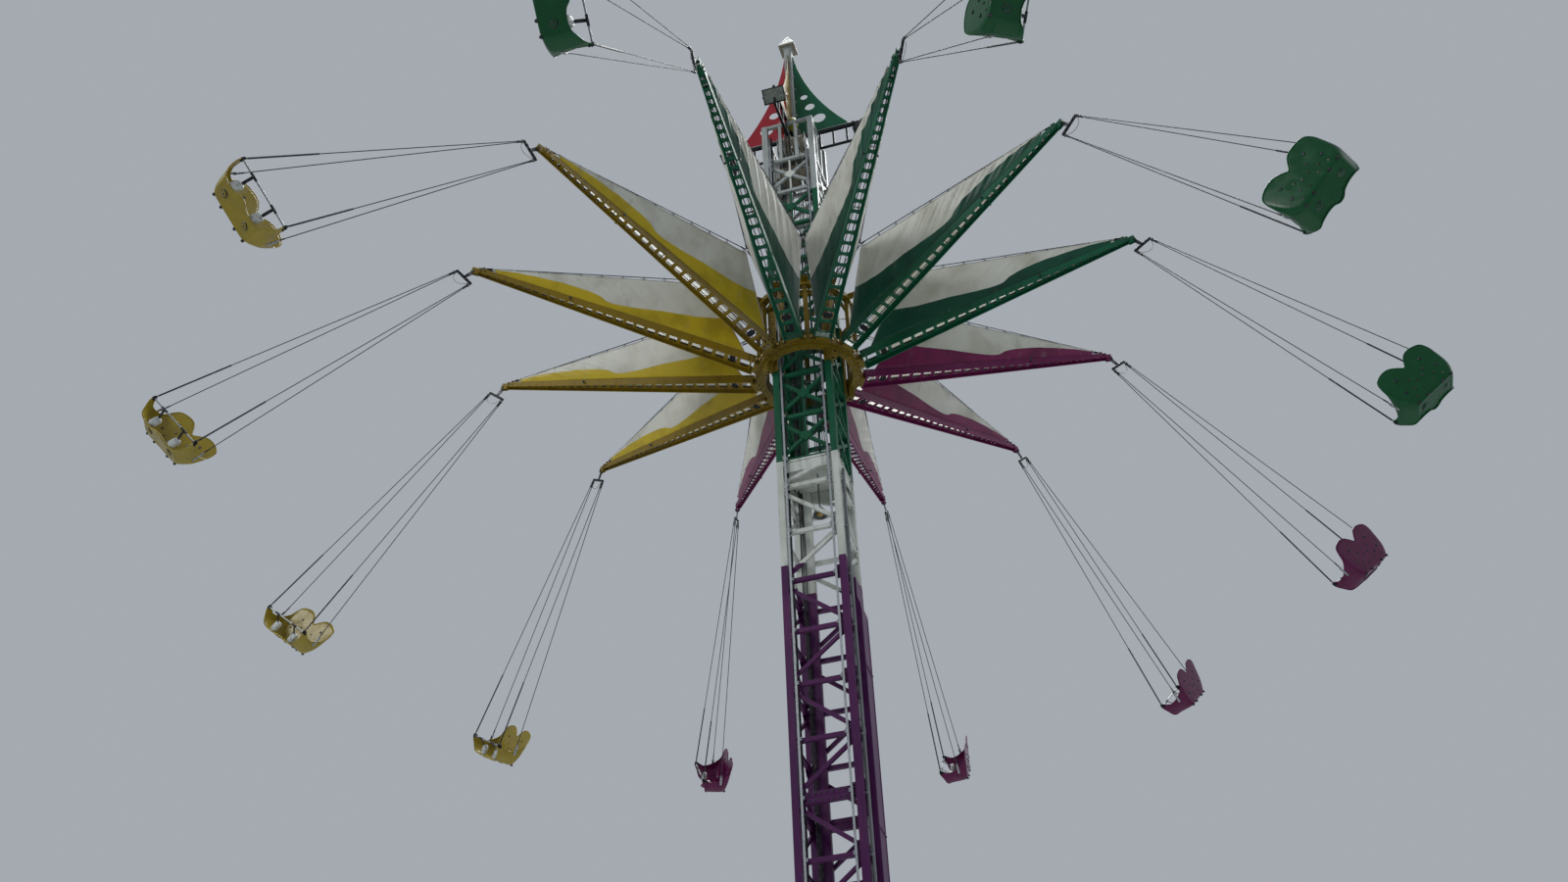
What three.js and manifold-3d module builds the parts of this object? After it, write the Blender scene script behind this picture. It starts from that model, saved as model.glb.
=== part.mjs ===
// Tower chair swing ride with twelve twin seats, in millimetres, +Z up.
// The origin is the middle of the foot plate, and the square tower's faces look along X and Y.
// It is drawn in flight: the carriage is high on the tower and every seat has swung outwards.

import * as THREE from 'three';
import { mergeVertices } from 'three/addons/utils/BufferGeometryUtils.js';
import Module from 'manifold-3d';

const wasm = await Module();
wasm.setup();

const gap = 0.3;              // between pieces that touch
const slide = 0.4;            // between a guide shoe and its leg

// Foot
const footPlate = { size: 2200, thick: 40 };
const footBeam = { width: 200, height: 220, length: 2150 };

// Tower: a square lattice, painted in four bands
const towerHalf = 525;
const legSize = 110;
const towerBottom = footPlate.thick + footBeam.height + gap;
const towerTop = 26060;
const paintLevels = [15420, 17500, 23920];
const plainLevel = 15120;     // highest level with a single brace in every bay
const plainPitch = 925;
const middleLevels = [16045, 16970, 17500];
const crossBays = 7;
const headLevels = [24050, 24970];
const girt = { deep: 60, high: 70, inset: 10 };
const brace = { deep: 46, high: 60 };
const braceOffset = 85;       // from a girt to the end of a brace
const deckThick = 30;
const duct = { x: -310, y: 425, wide: 200, deep: 90 };

// Fittings on the tower
const trunk = { wide: 460, deep: 185, top: 15200, chamfer: 260 };
const rail = { x: 365, size: 36, strap: 70, strapThick: 12 };
const railTop = 25400;
const lightBar = { reach: 1480, top: 26150, bottom: 25600, size: 50, rungs: 4 };
const lamp = { wide: 500, deep: 170, high: 240, drop: 100, rake: 120 };

// Crown
const mast = { size: 160, top: 28930 };
const fin = { thick: 12, reach: 1130, top: 28750, knee: [289, 27355] };
const finHoles = [[275, 27330, 80], [385, 26980, 105], [560, 26560, 140]];
const lantern = { size: 350, high: 300, roof: 290 };

// Carriage and hub
const ringInner = 775;
const shoeThick = 32;
const carriageBottom = 19500;
const carriageTop = 21060;
const sleeveOuter = 797;
const hubInner = 815;
const hubOuter = 940;
const hubRingBottom = 19700;
const hubRingHigh = 150;
const cageTop = 21150;
const cageRingHigh = 90;
const upright = { radius: 868, wide: 90, deep: 70 };
const shaftSides = 20;

// Arms
const armCount = 12;
const armStep = 2 * Math.PI / armCount;
const rootRadius = 985;
const rootHeight = 19790;
const pivotRadius = 5980;
const pivotHeight = 21130;
const armEnd = 90;            // from the end of the arm's box to the end of its axis
const pivotDrop = 60;         // the pivot hangs this far below the arm's axis
const armRoot = { wide: 330, high: 170 };
const armTip = { wide: 110, high: 100 };
const armPlate = 12;
const webShare = 0.45;        // the web's height above the arm's lower edge, as a share of the depth
const slotCount = 12;
const slotWide = 0.62;        // share of the arm's width
const slotStart = 0.115;      // share of the arm's length
const slotEnd = 0.955;
const pinRadius = 14;
const pinSides = 8;
const pinSlack = 0.06;         // all round the pin in the flats of its eye

// Stays and sails: between two arms the stays of both meet in a knot, which a rope ties to the cage
const stay = { size: 16, lug: 70, ringThick: 15, ringOuter: 1060 };
const knot = { radius: 1960, height: 21200, size: 44 };
const sailThick = 3;
const sailFoot = [230, 4780];  // along the arm
const sailLift = 0.8;          // of the sail's foot over the edge of the side plate
const sailInner = { aside: 32, below: 38 };      // from the knot to the sail's inner corner
const sailOuter = { beyond: 90, high: 52 };      // from the end of the foot to the outer corner
const strap = { from: 4680, to: 4730, low: gap, high: 8, inset: 3 };   // ties a pair of sails over the arm

// Swings
const swingOut = [37, 41, 43, 44, 47, 34, 41, 46, 45, 46, 44, 37];   // degrees from plumb, arm 1 first
const swingTrail = 4;         // degrees that the swing plane trails its arm
const spreader = { drop: 200, length: 360, size: 40 };
const cable = { size: 16 };
const seatDrop = 5740;        // from the pivot to the middle of the seat
const seat = {
  wide: 1080, panWide: 800, wall: 25, bottom: -330, panTop: -300, bilge: -170, front: 255, rear: -210,
  lobeTop: 380, lean: 90, hornTop: -20, hornFront: 330, hornDeep: 75,
};
const rider = 250;            // from the middle of the seat to the middle of a rider's place
const scoop = { radius: 190, depth: 80 };   // thigh cut-outs in the front edge of the pan
const post = { wide: 70, deep: 50, high: 150 };        // between a rider's legs
const lapBar = 26;

// Colours
const colours = {
  purple: 0x5c1f4f, white: 0xd9dbd2, green: 0x12673a, yellow: 0xc79a1e, steel: 0x9aa0a3,
  grey: 0x77797c, black: 0x1c1f22, magenta: 0x8e1d5c,
};
const finish = (colour, roughness = 0.45, metalness = 0) =>
  new THREE.MeshStandardMaterial({ color: colours[colour], roughness, metalness });

// Solids
function solid(geometry, matrix) {
  const plain = geometry.index ? geometry.toNonIndexed() : geometry.clone();
  if (matrix) plain.applyMatrix4(matrix);
  for (const name of Object.keys(plain.attributes)) {
    if (name !== 'position') plain.deleteAttribute(name);
  }
  const merged = mergeVertices(plain, 1e-3);
  return new wasm.Manifold(new wasm.Mesh({
    numProp: 3,
    vertProperties: new Float32Array(merged.attributes.position.array),
    triVerts: new Uint32Array(merged.index.array),
  }));
}
const fuse = (pieces) => pieces.reduce((sum, piece) => sum.add(piece));
const cut = (body, tools) => tools.reduce((rest, tool) => rest.subtract(tool), body);

function mesh(name, body, material) {
  const { vertProperties, triVerts } = body.getMesh();
  const geometry = new THREE.BufferGeometry();
  geometry.setAttribute('position', new THREE.BufferAttribute(vertProperties, 3));
  geometry.setIndex(new THREE.BufferAttribute(triVerts, 1));
  geometry.computeVertexNormals();
  const node = new THREE.Mesh(geometry, material);
  node.name = name;
  return node;
}

// A box from its low corner to its high corner
function block(low, high) {
  const size = high.map((value, axis) => value - low[axis]);
  const middle = high.map((value, axis) => (value + low[axis]) / 2);
  return solid(new THREE.BoxGeometry(...size), new THREE.Matrix4().makeTranslation(...middle));
}

// A straight bar between two points, `wide` across the side vector and `high` across the third way
function bar(from, to, wide, high, side = [0, 1, 0]) {
  const start = new THREE.Vector3(...from);
  const end = new THREE.Vector3(...to);
  const along = end.clone().sub(start);
  const length = along.length();
  along.normalize();
  const across = new THREE.Vector3(...side);
  across.addScaledVector(along, -across.dot(along)).normalize();
  const third = new THREE.Vector3().crossVectors(along, across);
  const place = new THREE.Matrix4().makeBasis(along, across, third);
  place.setPosition(start.add(end).multiplyScalar(0.5));
  return solid(new THREE.BoxGeometry(length, wide, high), place);
}

// A round bar between two points
function rod(from, to, radius, sides) {
  const start = new THREE.Vector3(...from);
  const end = new THREE.Vector3(...to);
  const length = start.distanceTo(end);
  const turn = new THREE.Quaternion().setFromUnitVectors(
    new THREE.Vector3(0, 1, 0), end.clone().sub(start).normalize());
  const place = new THREE.Matrix4().compose(start.add(end).multiplyScalar(0.5), turn, new THREE.Vector3(1, 1, 1));
  return solid(new THREE.CylinderGeometry(radius, radius, length, sides), place);
}

// A closed [radius, z] profile turned about Z
function turnedProfile(profile) {
  const points = [...profile, profile[0]].map(([radius, z]) => new THREE.Vector2(radius, z));
  return solid(new THREE.LatheGeometry(points, shaftSides), new THREE.Matrix4().makeRotationX(Math.PI / 2));
}
const ring = (inner, outer, low, high) => turnedProfile([[inner, low], [outer, low], [outer, high], [inner, high]]);

// A flat plate whose outline is given as [x, z] points and which is centred on y
function plateXZ(outline, thick, y = 0, holes = []) {
  const shape = new THREE.Shape(outline.map(([x, z]) => new THREE.Vector2(x, z)));
  for (const [x, z, radius] of holes) {
    const hole = new THREE.Path();
    hole.absarc(x, z, radius, 0, 2 * Math.PI);
    shape.holes.push(hole);
  }
  const geometry = new THREE.ExtrudeGeometry(shape, { depth: thick, bevelEnabled: false, curveSegments: 5 });
  const place = new THREE.Matrix4().makeRotationX(Math.PI / 2);
  place.setPosition(0, y + thick / 2, 0);
  return solid(geometry, place);
}

// An upright prism on an outline of [x, y] points
function prism(outline, low, high) {
  const shape = new THREE.Shape(outline.map(([x, y]) => new THREE.Vector2(x, y)));
  const geometry = new THREE.ExtrudeGeometry(shape, { depth: high - low, bevelEnabled: false });
  return solid(geometry, new THREE.Matrix4().makeTranslation(0, 0, low));
}

// A box along +X that tapers from one section to the other, its top and bottom given at both ends
function taper(from, to, start, end) {
  const geometry = new THREE.BoxGeometry(1, 1, 1);
  const position = geometry.attributes.position;
  for (let index = 0; index < position.count; index += 1) {
    const section = position.getX(index) < 0 ? start : end;
    const x = position.getX(index) < 0 ? from : to;
    const y = position.getY(index) * section.wide;
    const z = position.getZ(index) < 0 ? section.low : section.top;
    position.setXYZ(index, x, y, z);
  }
  return solid(geometry);
}

const turned = (body, angle) => {
  const place = new THREE.Matrix4().makeRotationZ(angle);
  return body.transform(place.elements);
};

// Levels of the tower's girts, from the foot up
const lowerLevels = [];
for (let level = plainLevel; level > towerBottom; level -= plainPitch) lowerLevels.unshift(level);
const deckLevel = paintLevels[1];
const crossLevels = [];
for (let bay = 1; bay <= crossBays; bay += 1) {
  crossLevels.push(deckLevel + (headLevels[0] - deckLevel) * bay / crossBays);
}
const singleLevels = [...lowerLevels, ...middleLevels];
const crossedLevels = [deckLevel, ...crossLevels, headLevels[1]];

// One face of the tower, on the -Y side: girts, braces and uprights between the legs
function towerFace() {
  const y = -towerHalf + girt.inset + girt.deep / 2;
  const reach = towerHalf - legSize / 2;
  const across = (z) => block([-reach, y - girt.deep / 2, z - girt.high / 2],
    [reach, y + girt.deep / 2, z + girt.high / 2]);
  const diagonal = (low, high, way) => bar([-reach * way, y, low + braceOffset], [reach * way, y, high - braceOffset],
    brace.deep, brace.high);
  const pieces = [];
  singleLevels.forEach((level, index) => {
    pieces.push(across(level));
    if (index + 1 < singleLevels.length) {
      pieces.push(diagonal(level, singleLevels[index + 1], index % 2 ? -1 : 1));
    }
  });
  crossedLevels.slice(1).forEach((level, index) => {
    const below = crossedLevels[index];
    pieces.push(across(level), diagonal(below, level, 1), diagonal(below, level, -1));
  });
  pieces.push(across(towerTop - girt.high / 2));
  for (const x of [-160, 160]) {
    pieces.push(bar([x, y, headLevels[1]], [x, y, towerTop - girt.high / 2], brace.deep, brace.high));
  }
  return fuse(pieces);
}

function tower() {
  const inner = towerHalf - legSize;
  const face = towerFace();
  const pieces = [];
  for (let side = 0; side < 4; side += 1) {
    const leg = block([inner, inner, towerBottom], [towerHalf, towerHalf, towerTop]);
    const shoe = block([inner - 90, inner - 90, towerBottom], [towerHalf + 40, towerHalf + 40, towerBottom + 25]);
    pieces.push(turned(face, side * Math.PI / 2), turned(fuse([leg, shoe]), side * Math.PI / 2));
  }
  pieces.push(block([-inner - 20, -inner - 20, deckLevel - deckThick], [inner + 20, inner + 20, deckLevel]));
  pieces.push(block([duct.x - duct.wide / 2, duct.y - duct.deep / 2, towerBottom],
    [duct.x + duct.wide / 2, duct.y + duct.deep / 2, towerTop - girt.high]));
  return fuse(pieces);
}

// The tower cut into its painted bands
function towerBand(whole, low, high) {
  const reach = towerHalf + 300;
  return whole.intersect(block([-reach, -reach, low], [reach, reach, high]));
}

function foot() {
  const half = footPlate.size / 2;
  const top = footPlate.thick + footBeam.height;
  const offset = towerHalf - legSize / 2;
  const pieces = [block([-half, -half, 0], [half, half, footPlate.thick])];
  for (const place of [-offset, offset]) {
    const low = place - footBeam.width / 2;
    const high = place + footBeam.width / 2;
    const reach = footBeam.length / 2;
    pieces.push(block([-reach, low, 10], [reach, high, top]), block([low, -reach, 10], [high, reach, top]));
  }
  return fuse(pieces);
}

function cableTrunk() {
  const low = towerHalf - girt.inset + gap;
  const high = towerHalf + trunk.deep;
  const half = trunk.wide / 2;
  const body = plateXZ([[low, towerBottom + 25 + gap], [high, towerBottom + 25 + gap],
    [high, trunk.top - trunk.chamfer], [low + 40, trunk.top], [low, trunk.top]], trunk.wide);
  const cover = block([high - 1, -half + 40, towerBottom + 400], [high + 12, half - 40, trunk.top - 2 * trunk.chamfer]);
  return body.add(cover);
}

function guideRails() {
  const face = -towerHalf + girt.inset - gap;
  const back = face - rail.strapThick;
  const pieces = [];
  for (const x of [-rail.x, rail.x]) {
    pieces.push(block([x - rail.size / 2, back - rail.size, towerBottom + 30], [x + rail.size / 2, back + 1, railTop]));
  }
  for (let level = plainLevel; level > towerBottom; level -= 3 * plainPitch) {
    pieces.push(block([-rail.x - 30, back, level - rail.strap / 2], [rail.x + 30, face, level + rail.strap / 2]));
  }
  for (const level of [middleLevels[2], crossLevels[2], crossLevels[5], headLevels[1]]) {
    pieces.push(block([-rail.x - 30, back, level - rail.strap / 2], [rail.x + 30, face, level + rail.strap / 2]));
  }
  return fuse(pieces);
}

// A cross of ladder brackets on the head, with a floodlight at the end of each
function lightFrame() {
  const half = lightBar.size / 2;
  const inside = towerHalf + gap;
  const pieces = [];
  for (let side = 0; side < 4; side += 1) {
    const parts = [
      block([0, -half, towerTop + gap], [lightBar.reach, half, lightBar.top]),
      block([inside, -half, lightBar.bottom], [lightBar.reach, half, lightBar.bottom + 40]),
    ];
    for (let rung = 0; rung < lightBar.rungs; rung += 1) {
      const x = inside + (lightBar.reach - inside - 40) * rung / (lightBar.rungs - 1);
      parts.push(block([x, -half + 5, lightBar.bottom], [x + 40, half - 5, lightBar.top]));
    }
    const x = lightBar.reach - lamp.rake / 2;
    const z = (lightBar.top + lightBar.bottom) / 2 - lamp.drop;
    parts.push(bar([x, 0, z + lamp.high / 2], [x + lamp.rake, 0, z - lamp.high / 2], lamp.wide, lamp.deep));
    pieces.push(turned(fuse(parts), side * Math.PI / 2));
  }
  return fuse(pieces);
}

// Mast, four fins with a hollow outer edge, and the lantern on top
function crown() {
  const foot = lightBar.top + gap;
  const half = mast.size / 2;
  const curve = new THREE.QuadraticBezierCurve(new THREE.Vector2(half + 12, fin.top),
    new THREE.Vector2(...fin.knee), new THREE.Vector2(fin.reach, foot + 70));
  const edge = curve.getPoints(5).map((point) => [point.x, point.y]);
  const outline = [[half - 10, foot], [fin.reach, foot], ...edge.reverse(), [half - 10, fin.top]];
  const plate = plateXZ(outline, fin.thick, 0, finHoles);
  const pieces = [block([-half, -half, foot], [half, half, mast.top + 20])];
  for (let side = 0; side < 4; side += 1) pieces.push(turned(plate, side * Math.PI / 2));
  const cube = lantern.size / 2;
  pieces.push(block([-cube, -cube, mast.top], [cube, cube, mast.top + lantern.high]));
  const roof = new THREE.ConeGeometry(cube * Math.SQRT2 + 20, lantern.roof, 4);
  const place = new THREE.Matrix4().makeRotationX(Math.PI / 2).multiply(new THREE.Matrix4().makeRotationY(Math.PI / 4));
  place.setPosition(0, 0, mast.top + lantern.high + lantern.roof / 2 - 5);
  pieces.push(solid(roof, place));
  return fuse(pieces);
}

// The carriage: angle shoes on the four legs, joined by two rings, with a bearing flange below
function carriage() {
  const low = towerHalf + slide;
  const high = low + shoeThick;
  const start = towerHalf - legSize;
  const angle = [[low, start], [high, start], [high, high - 12], [high - 12, high], [start, high], [start, low], [low, low]];
  const shoe = prism(angle, carriageBottom, carriageTop);
  const flangeTop = hubRingBottom - gap;
  const flangeLow = flangeTop - 60;
  const pieces = [
    turnedProfile([[ringInner, flangeLow], [hubOuter - 60, flangeLow], [hubOuter - 60, flangeTop],
      [sleeveOuter, flangeTop], [sleeveOuter, flangeTop + 190], [ringInner, flangeTop + 190]]),
    ring(ringInner, sleeveOuter, carriageTop - 120, carriageTop),
  ];
  const box = block([ringInner - 8, -70, carriageBottom], [hubOuter - 66, 70, flangeLow + 10]);
  for (let side = 0; side < 4; side += 1) {
    pieces.push(turned(shoe, side * Math.PI / 2));
    pieces.push(turned(box, (side + 0.5) * Math.PI / 2));
  }
  return fuse(pieces);
}

// Slope of an arm, from its root to its pivot
const armRise = pivotHeight + pivotDrop - rootHeight;
const armSlope = Math.atan2(armRise, pivotRadius - rootRadius);
const armLength = Math.hypot(armRise, pivotRadius - rootRadius);
const boxLength = armLength - armEnd;
const armAxis = (radius) => rootHeight + (radius - rootRadius) * Math.tan(armSlope);
const armPlace = new THREE.Matrix4().makeRotationY(-armSlope);
armPlace.setPosition(rootRadius, 0, rootHeight);

// The turning cage round the carriage: two rings and twelve uprights between the arms
function hubCage() {
  const top = hubRingBottom + hubRingHigh;
  const pieces = [
    ring(hubInner, hubOuter, hubRingBottom, top),
    ring(hubInner, hubOuter, cageTop - cageRingHigh, cageTop),
  ];
  const faceAt = (z) => rootRadius - (z - rootHeight) * Math.tan(armSlope) - gap / Math.cos(armSlope);
  const low = hubRingBottom + 10;
  const high = top - 10;
  const lug = plateXZ([[hubOuter - 20, low], [faceAt(low), low], [faceAt(high), high], [hubOuter - 20, high]], 220);
  for (let arm = 0; arm < armCount; arm += 1) {
    const post = block([upright.radius - upright.deep / 2, -upright.wide / 2, top - 5],
      [upright.radius + upright.deep / 2, upright.wide / 2, cageTop - cageRingHigh + 5]);
    pieces.push(turned(post, (arm + 0.5) * armStep), turned(lug, arm * armStep));
  }
  return fuse(pieces);
}

const trailAngle = THREE.MathUtils.degToRad(swingTrail);

// Section of the arm's box at a share of its length, narrowed by `inset` on each side
function armSection(share, low, top, inset = 0) {
  const wide = armRoot.wide + (armTip.wide - armRoot.wide) * share;
  const high = armRoot.high + (armTip.high - armRoot.high) * share;
  return { wide: wide - 2 * inset, low: low(high), top: top(high) };
}

const underWeb = (high) => high * (webShare - 0.5);

// A box arm along +X: two side plates and a web with rounded slots, which grow towards the root
function armBody() {
  const base = (high) => -high / 2;
  const crest = (high) => high / 2;
  const overWeb = (high) => underWeb(high) + armPlate;
  const above = (high) => high;
  const below = (high) => -high;
  const start = 60;
  const end = boxLength - 40;
  const shareAt = (x) => x / boxLength;
  const section = (x, low, top, inset) => armSection(shareAt(x), low, top, inset);
  let body = taper(0, boxLength, section(0, base, crest), section(boxLength, base, crest));
  body = cut(body, [
    taper(start, end, section(start, overWeb, above, armPlate), section(end, overWeb, above, armPlate)),
    taper(start, end, section(start, below, underWeb, armPlate), section(end, below, underWeb, armPlate)),
  ]);
  const slots = [];
  const growth = 1.55;        // first pitch over last pitch
  const span = (slotEnd - slotStart) * boxLength;
  for (let slot = 0; slot < slotCount; slot += 1) {
    const along = (slot + 0.5) / slotCount;
    const share = slotStart + (slotEnd - slotStart) * along * (1 + (growth - 1) / (growth + 1) * (1 - along));
    const pitch = span / slotCount * (2 * growth / (growth + 1) - along * 2 * (growth - 1) / (growth + 1));
    const wide = (armRoot.wide + (armTip.wide - armRoot.wide) * share) * slotWide;
    slots.push(block([share * boxLength - pitch * 0.34, -wide / 2, -armRoot.high],
      [share * boxLength + pitch * 0.34, wide / 2, armRoot.high]));
  }
  slots.push(block([70, -80, -armRoot.high], [170, 80, armRoot.high]));
  body = cut(body, slots);
  const cheek = { offset: 25, half: 9, low: -96, high: 40, beyond: 20 };
  const pinX = armLength - pivotDrop * Math.sin(armSlope);
  const pinZ = -pivotDrop * Math.cos(armSlope);
  const fork = [rod([pinX, -46, pinZ], [pinX, 46, pinZ], pinRadius, pinSides)];
  for (const side of [-1, 1]) {
    const y = side * cheek.offset;
    fork.push(block([boxLength - 30, y - cheek.half, cheek.low], [armLength + cheek.beyond, y + cheek.half, cheek.high]));
  }
  const atPivot = new THREE.Matrix4().makeTranslation(pivotRadius, 0, 0);
  const aside = atPivot.clone().multiply(new THREE.Matrix4().makeRotationZ(-trailAngle)).multiply(atPivot.invert());
  return fuse([body.transform(armPlace.elements), fuse(fork).transform(armPlace.elements).transform(aside.elements)]);
}

// The knot between an arm and its neighbour, on the side given by `way`
const knotAt = (way, aside = 0, below = 0) => new THREE.Vector3(knot.radius * Math.cos(armStep / 2),
  way * (knot.radius * Math.sin(armStep / 2) - aside), knot.height - below);

// Rope stays: from the cage to each knot, and from the knot to the tips of both arms beside it
function stays() {
  const low = cageTop + gap;
  const pieces = [ring(hubOuter - 80, stay.ringOuter, low, low + stay.ringThick)];
  const over = (high) => high / 2 + gap;
  const crest = (high) => high / 2 + stay.lug;
  const [from, to] = [boxLength - 120, boxLength - 30];
  const anchor = taper(from, to, { ...armSection(from / boxLength, over, crest), wide: 40 },
    { ...armSection(to / boxLength, over, crest), wide: 40 }).transform(armPlace.elements);
  const tip = new THREE.Vector3((from + to) / 2, 0, armTip.high / 2 + stay.lug - 10).applyMatrix4(armPlace).toArray();
  const back = bar([stay.ringOuter - 30, 0, low + 5], [knot.radius, 0, knot.height], stay.size, stay.size);
  const half = knot.size / 2;
  const tie = block([knot.radius - half, -half, knot.height - half], [knot.radius + half, half, knot.height + half]);
  const between = turned(back.add(tie), armStep / 2);
  const fronts = [-1, 1].map((way) => bar(knotAt(way).toArray(), tip, stay.size, stay.size));
  for (let arm = 0; arm < armCount; arm += 1) {
    pieces.push(turned(fuse([between, anchor, ...fronts]), arm * armStep));
  }
  return fuse(pieces);
}

// A flat sail beside the arm's middle plane: it stands on one side plate and leans outwards to the knot
function sheet(way) {
  const [start, end] = sailFoot.map((x) => {
    const { wide, top } = armSection(x / boxLength, () => 0, (high) => high / 2 + sailLift);
    return new THREE.Vector3(x, way * (wide - armPlate) / 2, top).applyMatrix4(armPlace);
  });
  const along = end.sub(start);
  const length = along.length();
  along.normalize();
  const rise = knotAt(way, sailInner.aside, sailInner.below).sub(start);
  const inner = rise.dot(along);
  rise.addScaledVector(along, -inner);
  const outline = [[0, 0], [length, 0], [length + sailOuter.beyond, sailOuter.high], [inner, rise.length()]];
  rise.normalize();
  const across = new THREE.Vector3().crossVectors(along, rise);
  const shape = new THREE.Shape(outline.map(([x, y]) => new THREE.Vector2(x, y)));
  const place = new THREE.Matrix4().makeBasis(along, rise, across);
  place.setPosition(start.addScaledVector(across, -sailThick / 2));
  return solid(new THREE.ExtrudeGeometry(shape, { depth: sailThick, bevelEnabled: false }), place);
}

// The two sails of an arm and the strap that ties them together near the tip
function sailPair() {
  const { wide, top } = armSection(strap.from / boxLength, () => 0, (high) => high / 2);
  const half = wide / 2 - strap.inset;
  const tie = block([strap.from, -half, top + strap.low], [strap.to, half, top + strap.high]);
  return fuse([sheet(-1), sheet(1), tie.transform(armPlace.elements)]);
}

// Swings are drawn hanging straight down from the pivot, facing +Y
const seatLugs = [[seat.hornFront - 15, seat.hornTop], [-60, seat.hornTop + 60]];   // [y, top]

function sling() {
  const eye = cut(block([-34, -10, -spreader.drop], [34, 10, 34]),
    [rod([0, -40, 0], [0, 40, 0], (pinRadius + pinSlack) / Math.cos(Math.PI / pinSides), pinSides)]);
  const pieces = [turned(eye, -trailAngle), bar([-spreader.length / 2 - 20, 0, -spreader.drop], [spreader.length / 2 + 20, 0, -spreader.drop],
    spreader.size, spreader.size)];
  for (const side of [-1, 1]) {
    for (const [y, top] of seatLugs) {
      const x = side * (seat.wide / 2 - seat.wall / 2);
      const end = -seatDrop + top + gap;
      const rope = bar([side * spreader.length / 2, 0, -spreader.drop], [x, y, end - 5], cable.size, cable.size);
      pieces.push(rope.subtract(block([x - 40, y - 40, end - 40], [x + 40, y + 40, end])));
    }
  }
  return fuse(pieces);
}

// A twin bucket seat: a tub with a scooped front, two-lobed back, horns, crotch posts and a lap bar
function seatShell() {
  const half = seat.wide / 2;
  const inside = half - seat.wall;
  const floor = seat.panWide / 2;
  const open = seat.lobeTop;
  const alongY = (outline, from, to) => plateXZ(outline, to - from, (from + to) / 2);
  const hull = [[-floor, seat.bottom], [floor, seat.bottom], [half, seat.bilge], [half, open], [-half, open], [-half, seat.bilge]];
  const hollow = [[-floor + 5, seat.panTop], [floor - 5, seat.panTop], [inside, seat.bilge + 5], [inside, open + 10],
    [-inside, open + 10], [-inside, seat.bilge + 5]];
  const tub = alongY(hull, seat.rear - 60, seat.hornFront).subtract(alongY(hollow, seat.rear - 100, seat.hornFront + 50));
  const side = plateXZ([[seat.rear - 4, seat.bottom], [seat.front - 40, seat.bottom], [seat.front, seat.bottom + 50],
    [seat.front - 10, seat.hornTop - 150], [seat.hornFront, seat.hornTop - seat.hornDeep], [seat.hornFront, seat.hornTop],
    [seat.hornFront - 60, seat.hornTop], [140, seat.hornTop - 60], [seat.rear - 50, seat.hornTop + 120]], seat.wide + 20)
    .transform(new THREE.Matrix4().makeRotationZ(Math.PI / 2).elements);
  const scoops = [-1, 1].map((way) => rod([way * rider, seat.front + scoop.radius - scoop.depth, seat.bottom - 40],
    [way * rider, seat.front + scoop.radius - scoop.depth, seat.hornTop], scoop.radius, 14));

  const rise = seat.lobeTop - seat.bottom;
  const lobe = new THREE.Shape();
  lobe.moveTo(-floor, 0);
  lobe.lineTo(floor, 0);
  lobe.lineTo(half, seat.bilge - seat.bottom);
  lobe.lineTo(half, rise * 0.62);
  lobe.quadraticCurveTo(half - 20, rise, half / 2 + 20, rise);
  lobe.quadraticCurveTo(110, rise, 0, rise * 0.76);
  lobe.quadraticCurveTo(-110, rise, -half / 2 - 20, rise);
  lobe.quadraticCurveTo(-half + 20, rise, -half, rise * 0.62);
  lobe.lineTo(-half, seat.bilge - seat.bottom);
  const lean = new THREE.Matrix4().makeRotationX(Math.PI / 2 + Math.atan2(seat.lean, rise));
  lean.setPosition(0, seat.rear + seat.wall, seat.bottom);
  const back = solid(new THREE.ExtrudeGeometry(lobe, { depth: seat.wall, bevelEnabled: false, curveSegments: 2 }), lean);

  const barY = seat.hornFront - lapBar / 2 - 2;
  const barZ = seat.hornTop - lapBar / 2 - 5;
  const pieces = [cut(tub.intersect(side), scoops), back, bar([-half + 5, barY, barZ], [half - 5, barY, barZ], lapBar, lapBar)];
  const [lugY, lugTop] = seatLugs[1];
  for (const way of [-1, 1]) {
    const x = way * (half - seat.wall / 2);
    pieces.push(block([x - seat.wall / 2, lugY - 20, lugTop - 130], [x + seat.wall / 2, lugY + 20, lugTop]));
    const middle = way * rider;
    pieces.push(block([middle - post.wide / 2, seat.front - scoop.depth - post.deep / 2, seat.bottom + 2],
      [middle + post.wide / 2, seat.front - scoop.depth + post.deep / 2, seat.bottom + post.high]));
  }
  return fuse(pieces).transform(new THREE.Matrix4().makeTranslation(0, 0, -seatDrop).elements);
}

// Assembly
const ride = new THREE.Group();
const wholeTower = tower();
const bands = [towerBottom - 1, ...paintLevels, towerTop + 1];
const bandPaint = [['tower_lower', 'purple'], ['tower_middle', 'white'], ['tower_upper', 'green'], ['tower_head', 'white']];
bandPaint.forEach(([name, colour], index) => {
  ride.add(mesh(name, towerBand(wholeTower, bands[index] + (index ? gap : 0), bands[index + 1]), finish(colour)));
});
ride.add(mesh('base_frame', foot(), finish('grey', 0.6)));
ride.add(mesh('hoist_trunk', cableTrunk(), finish('purple')));
ride.add(mesh('guide_rails', guideRails(), finish('steel', 0.4, 1)));
ride.add(mesh('light_frame', lightFrame(), finish('black', 0.5)));
ride.add(mesh('crown', crown(), finish('green', 0.4)));
ride.add(mesh('carriage_frame', carriage(), finish('yellow')));
ride.add(mesh('hub_cage', hubCage(), finish('yellow')));
ride.add(mesh('stay_ropes', stays(), finish('steel', 0.4, 1)));

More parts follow.
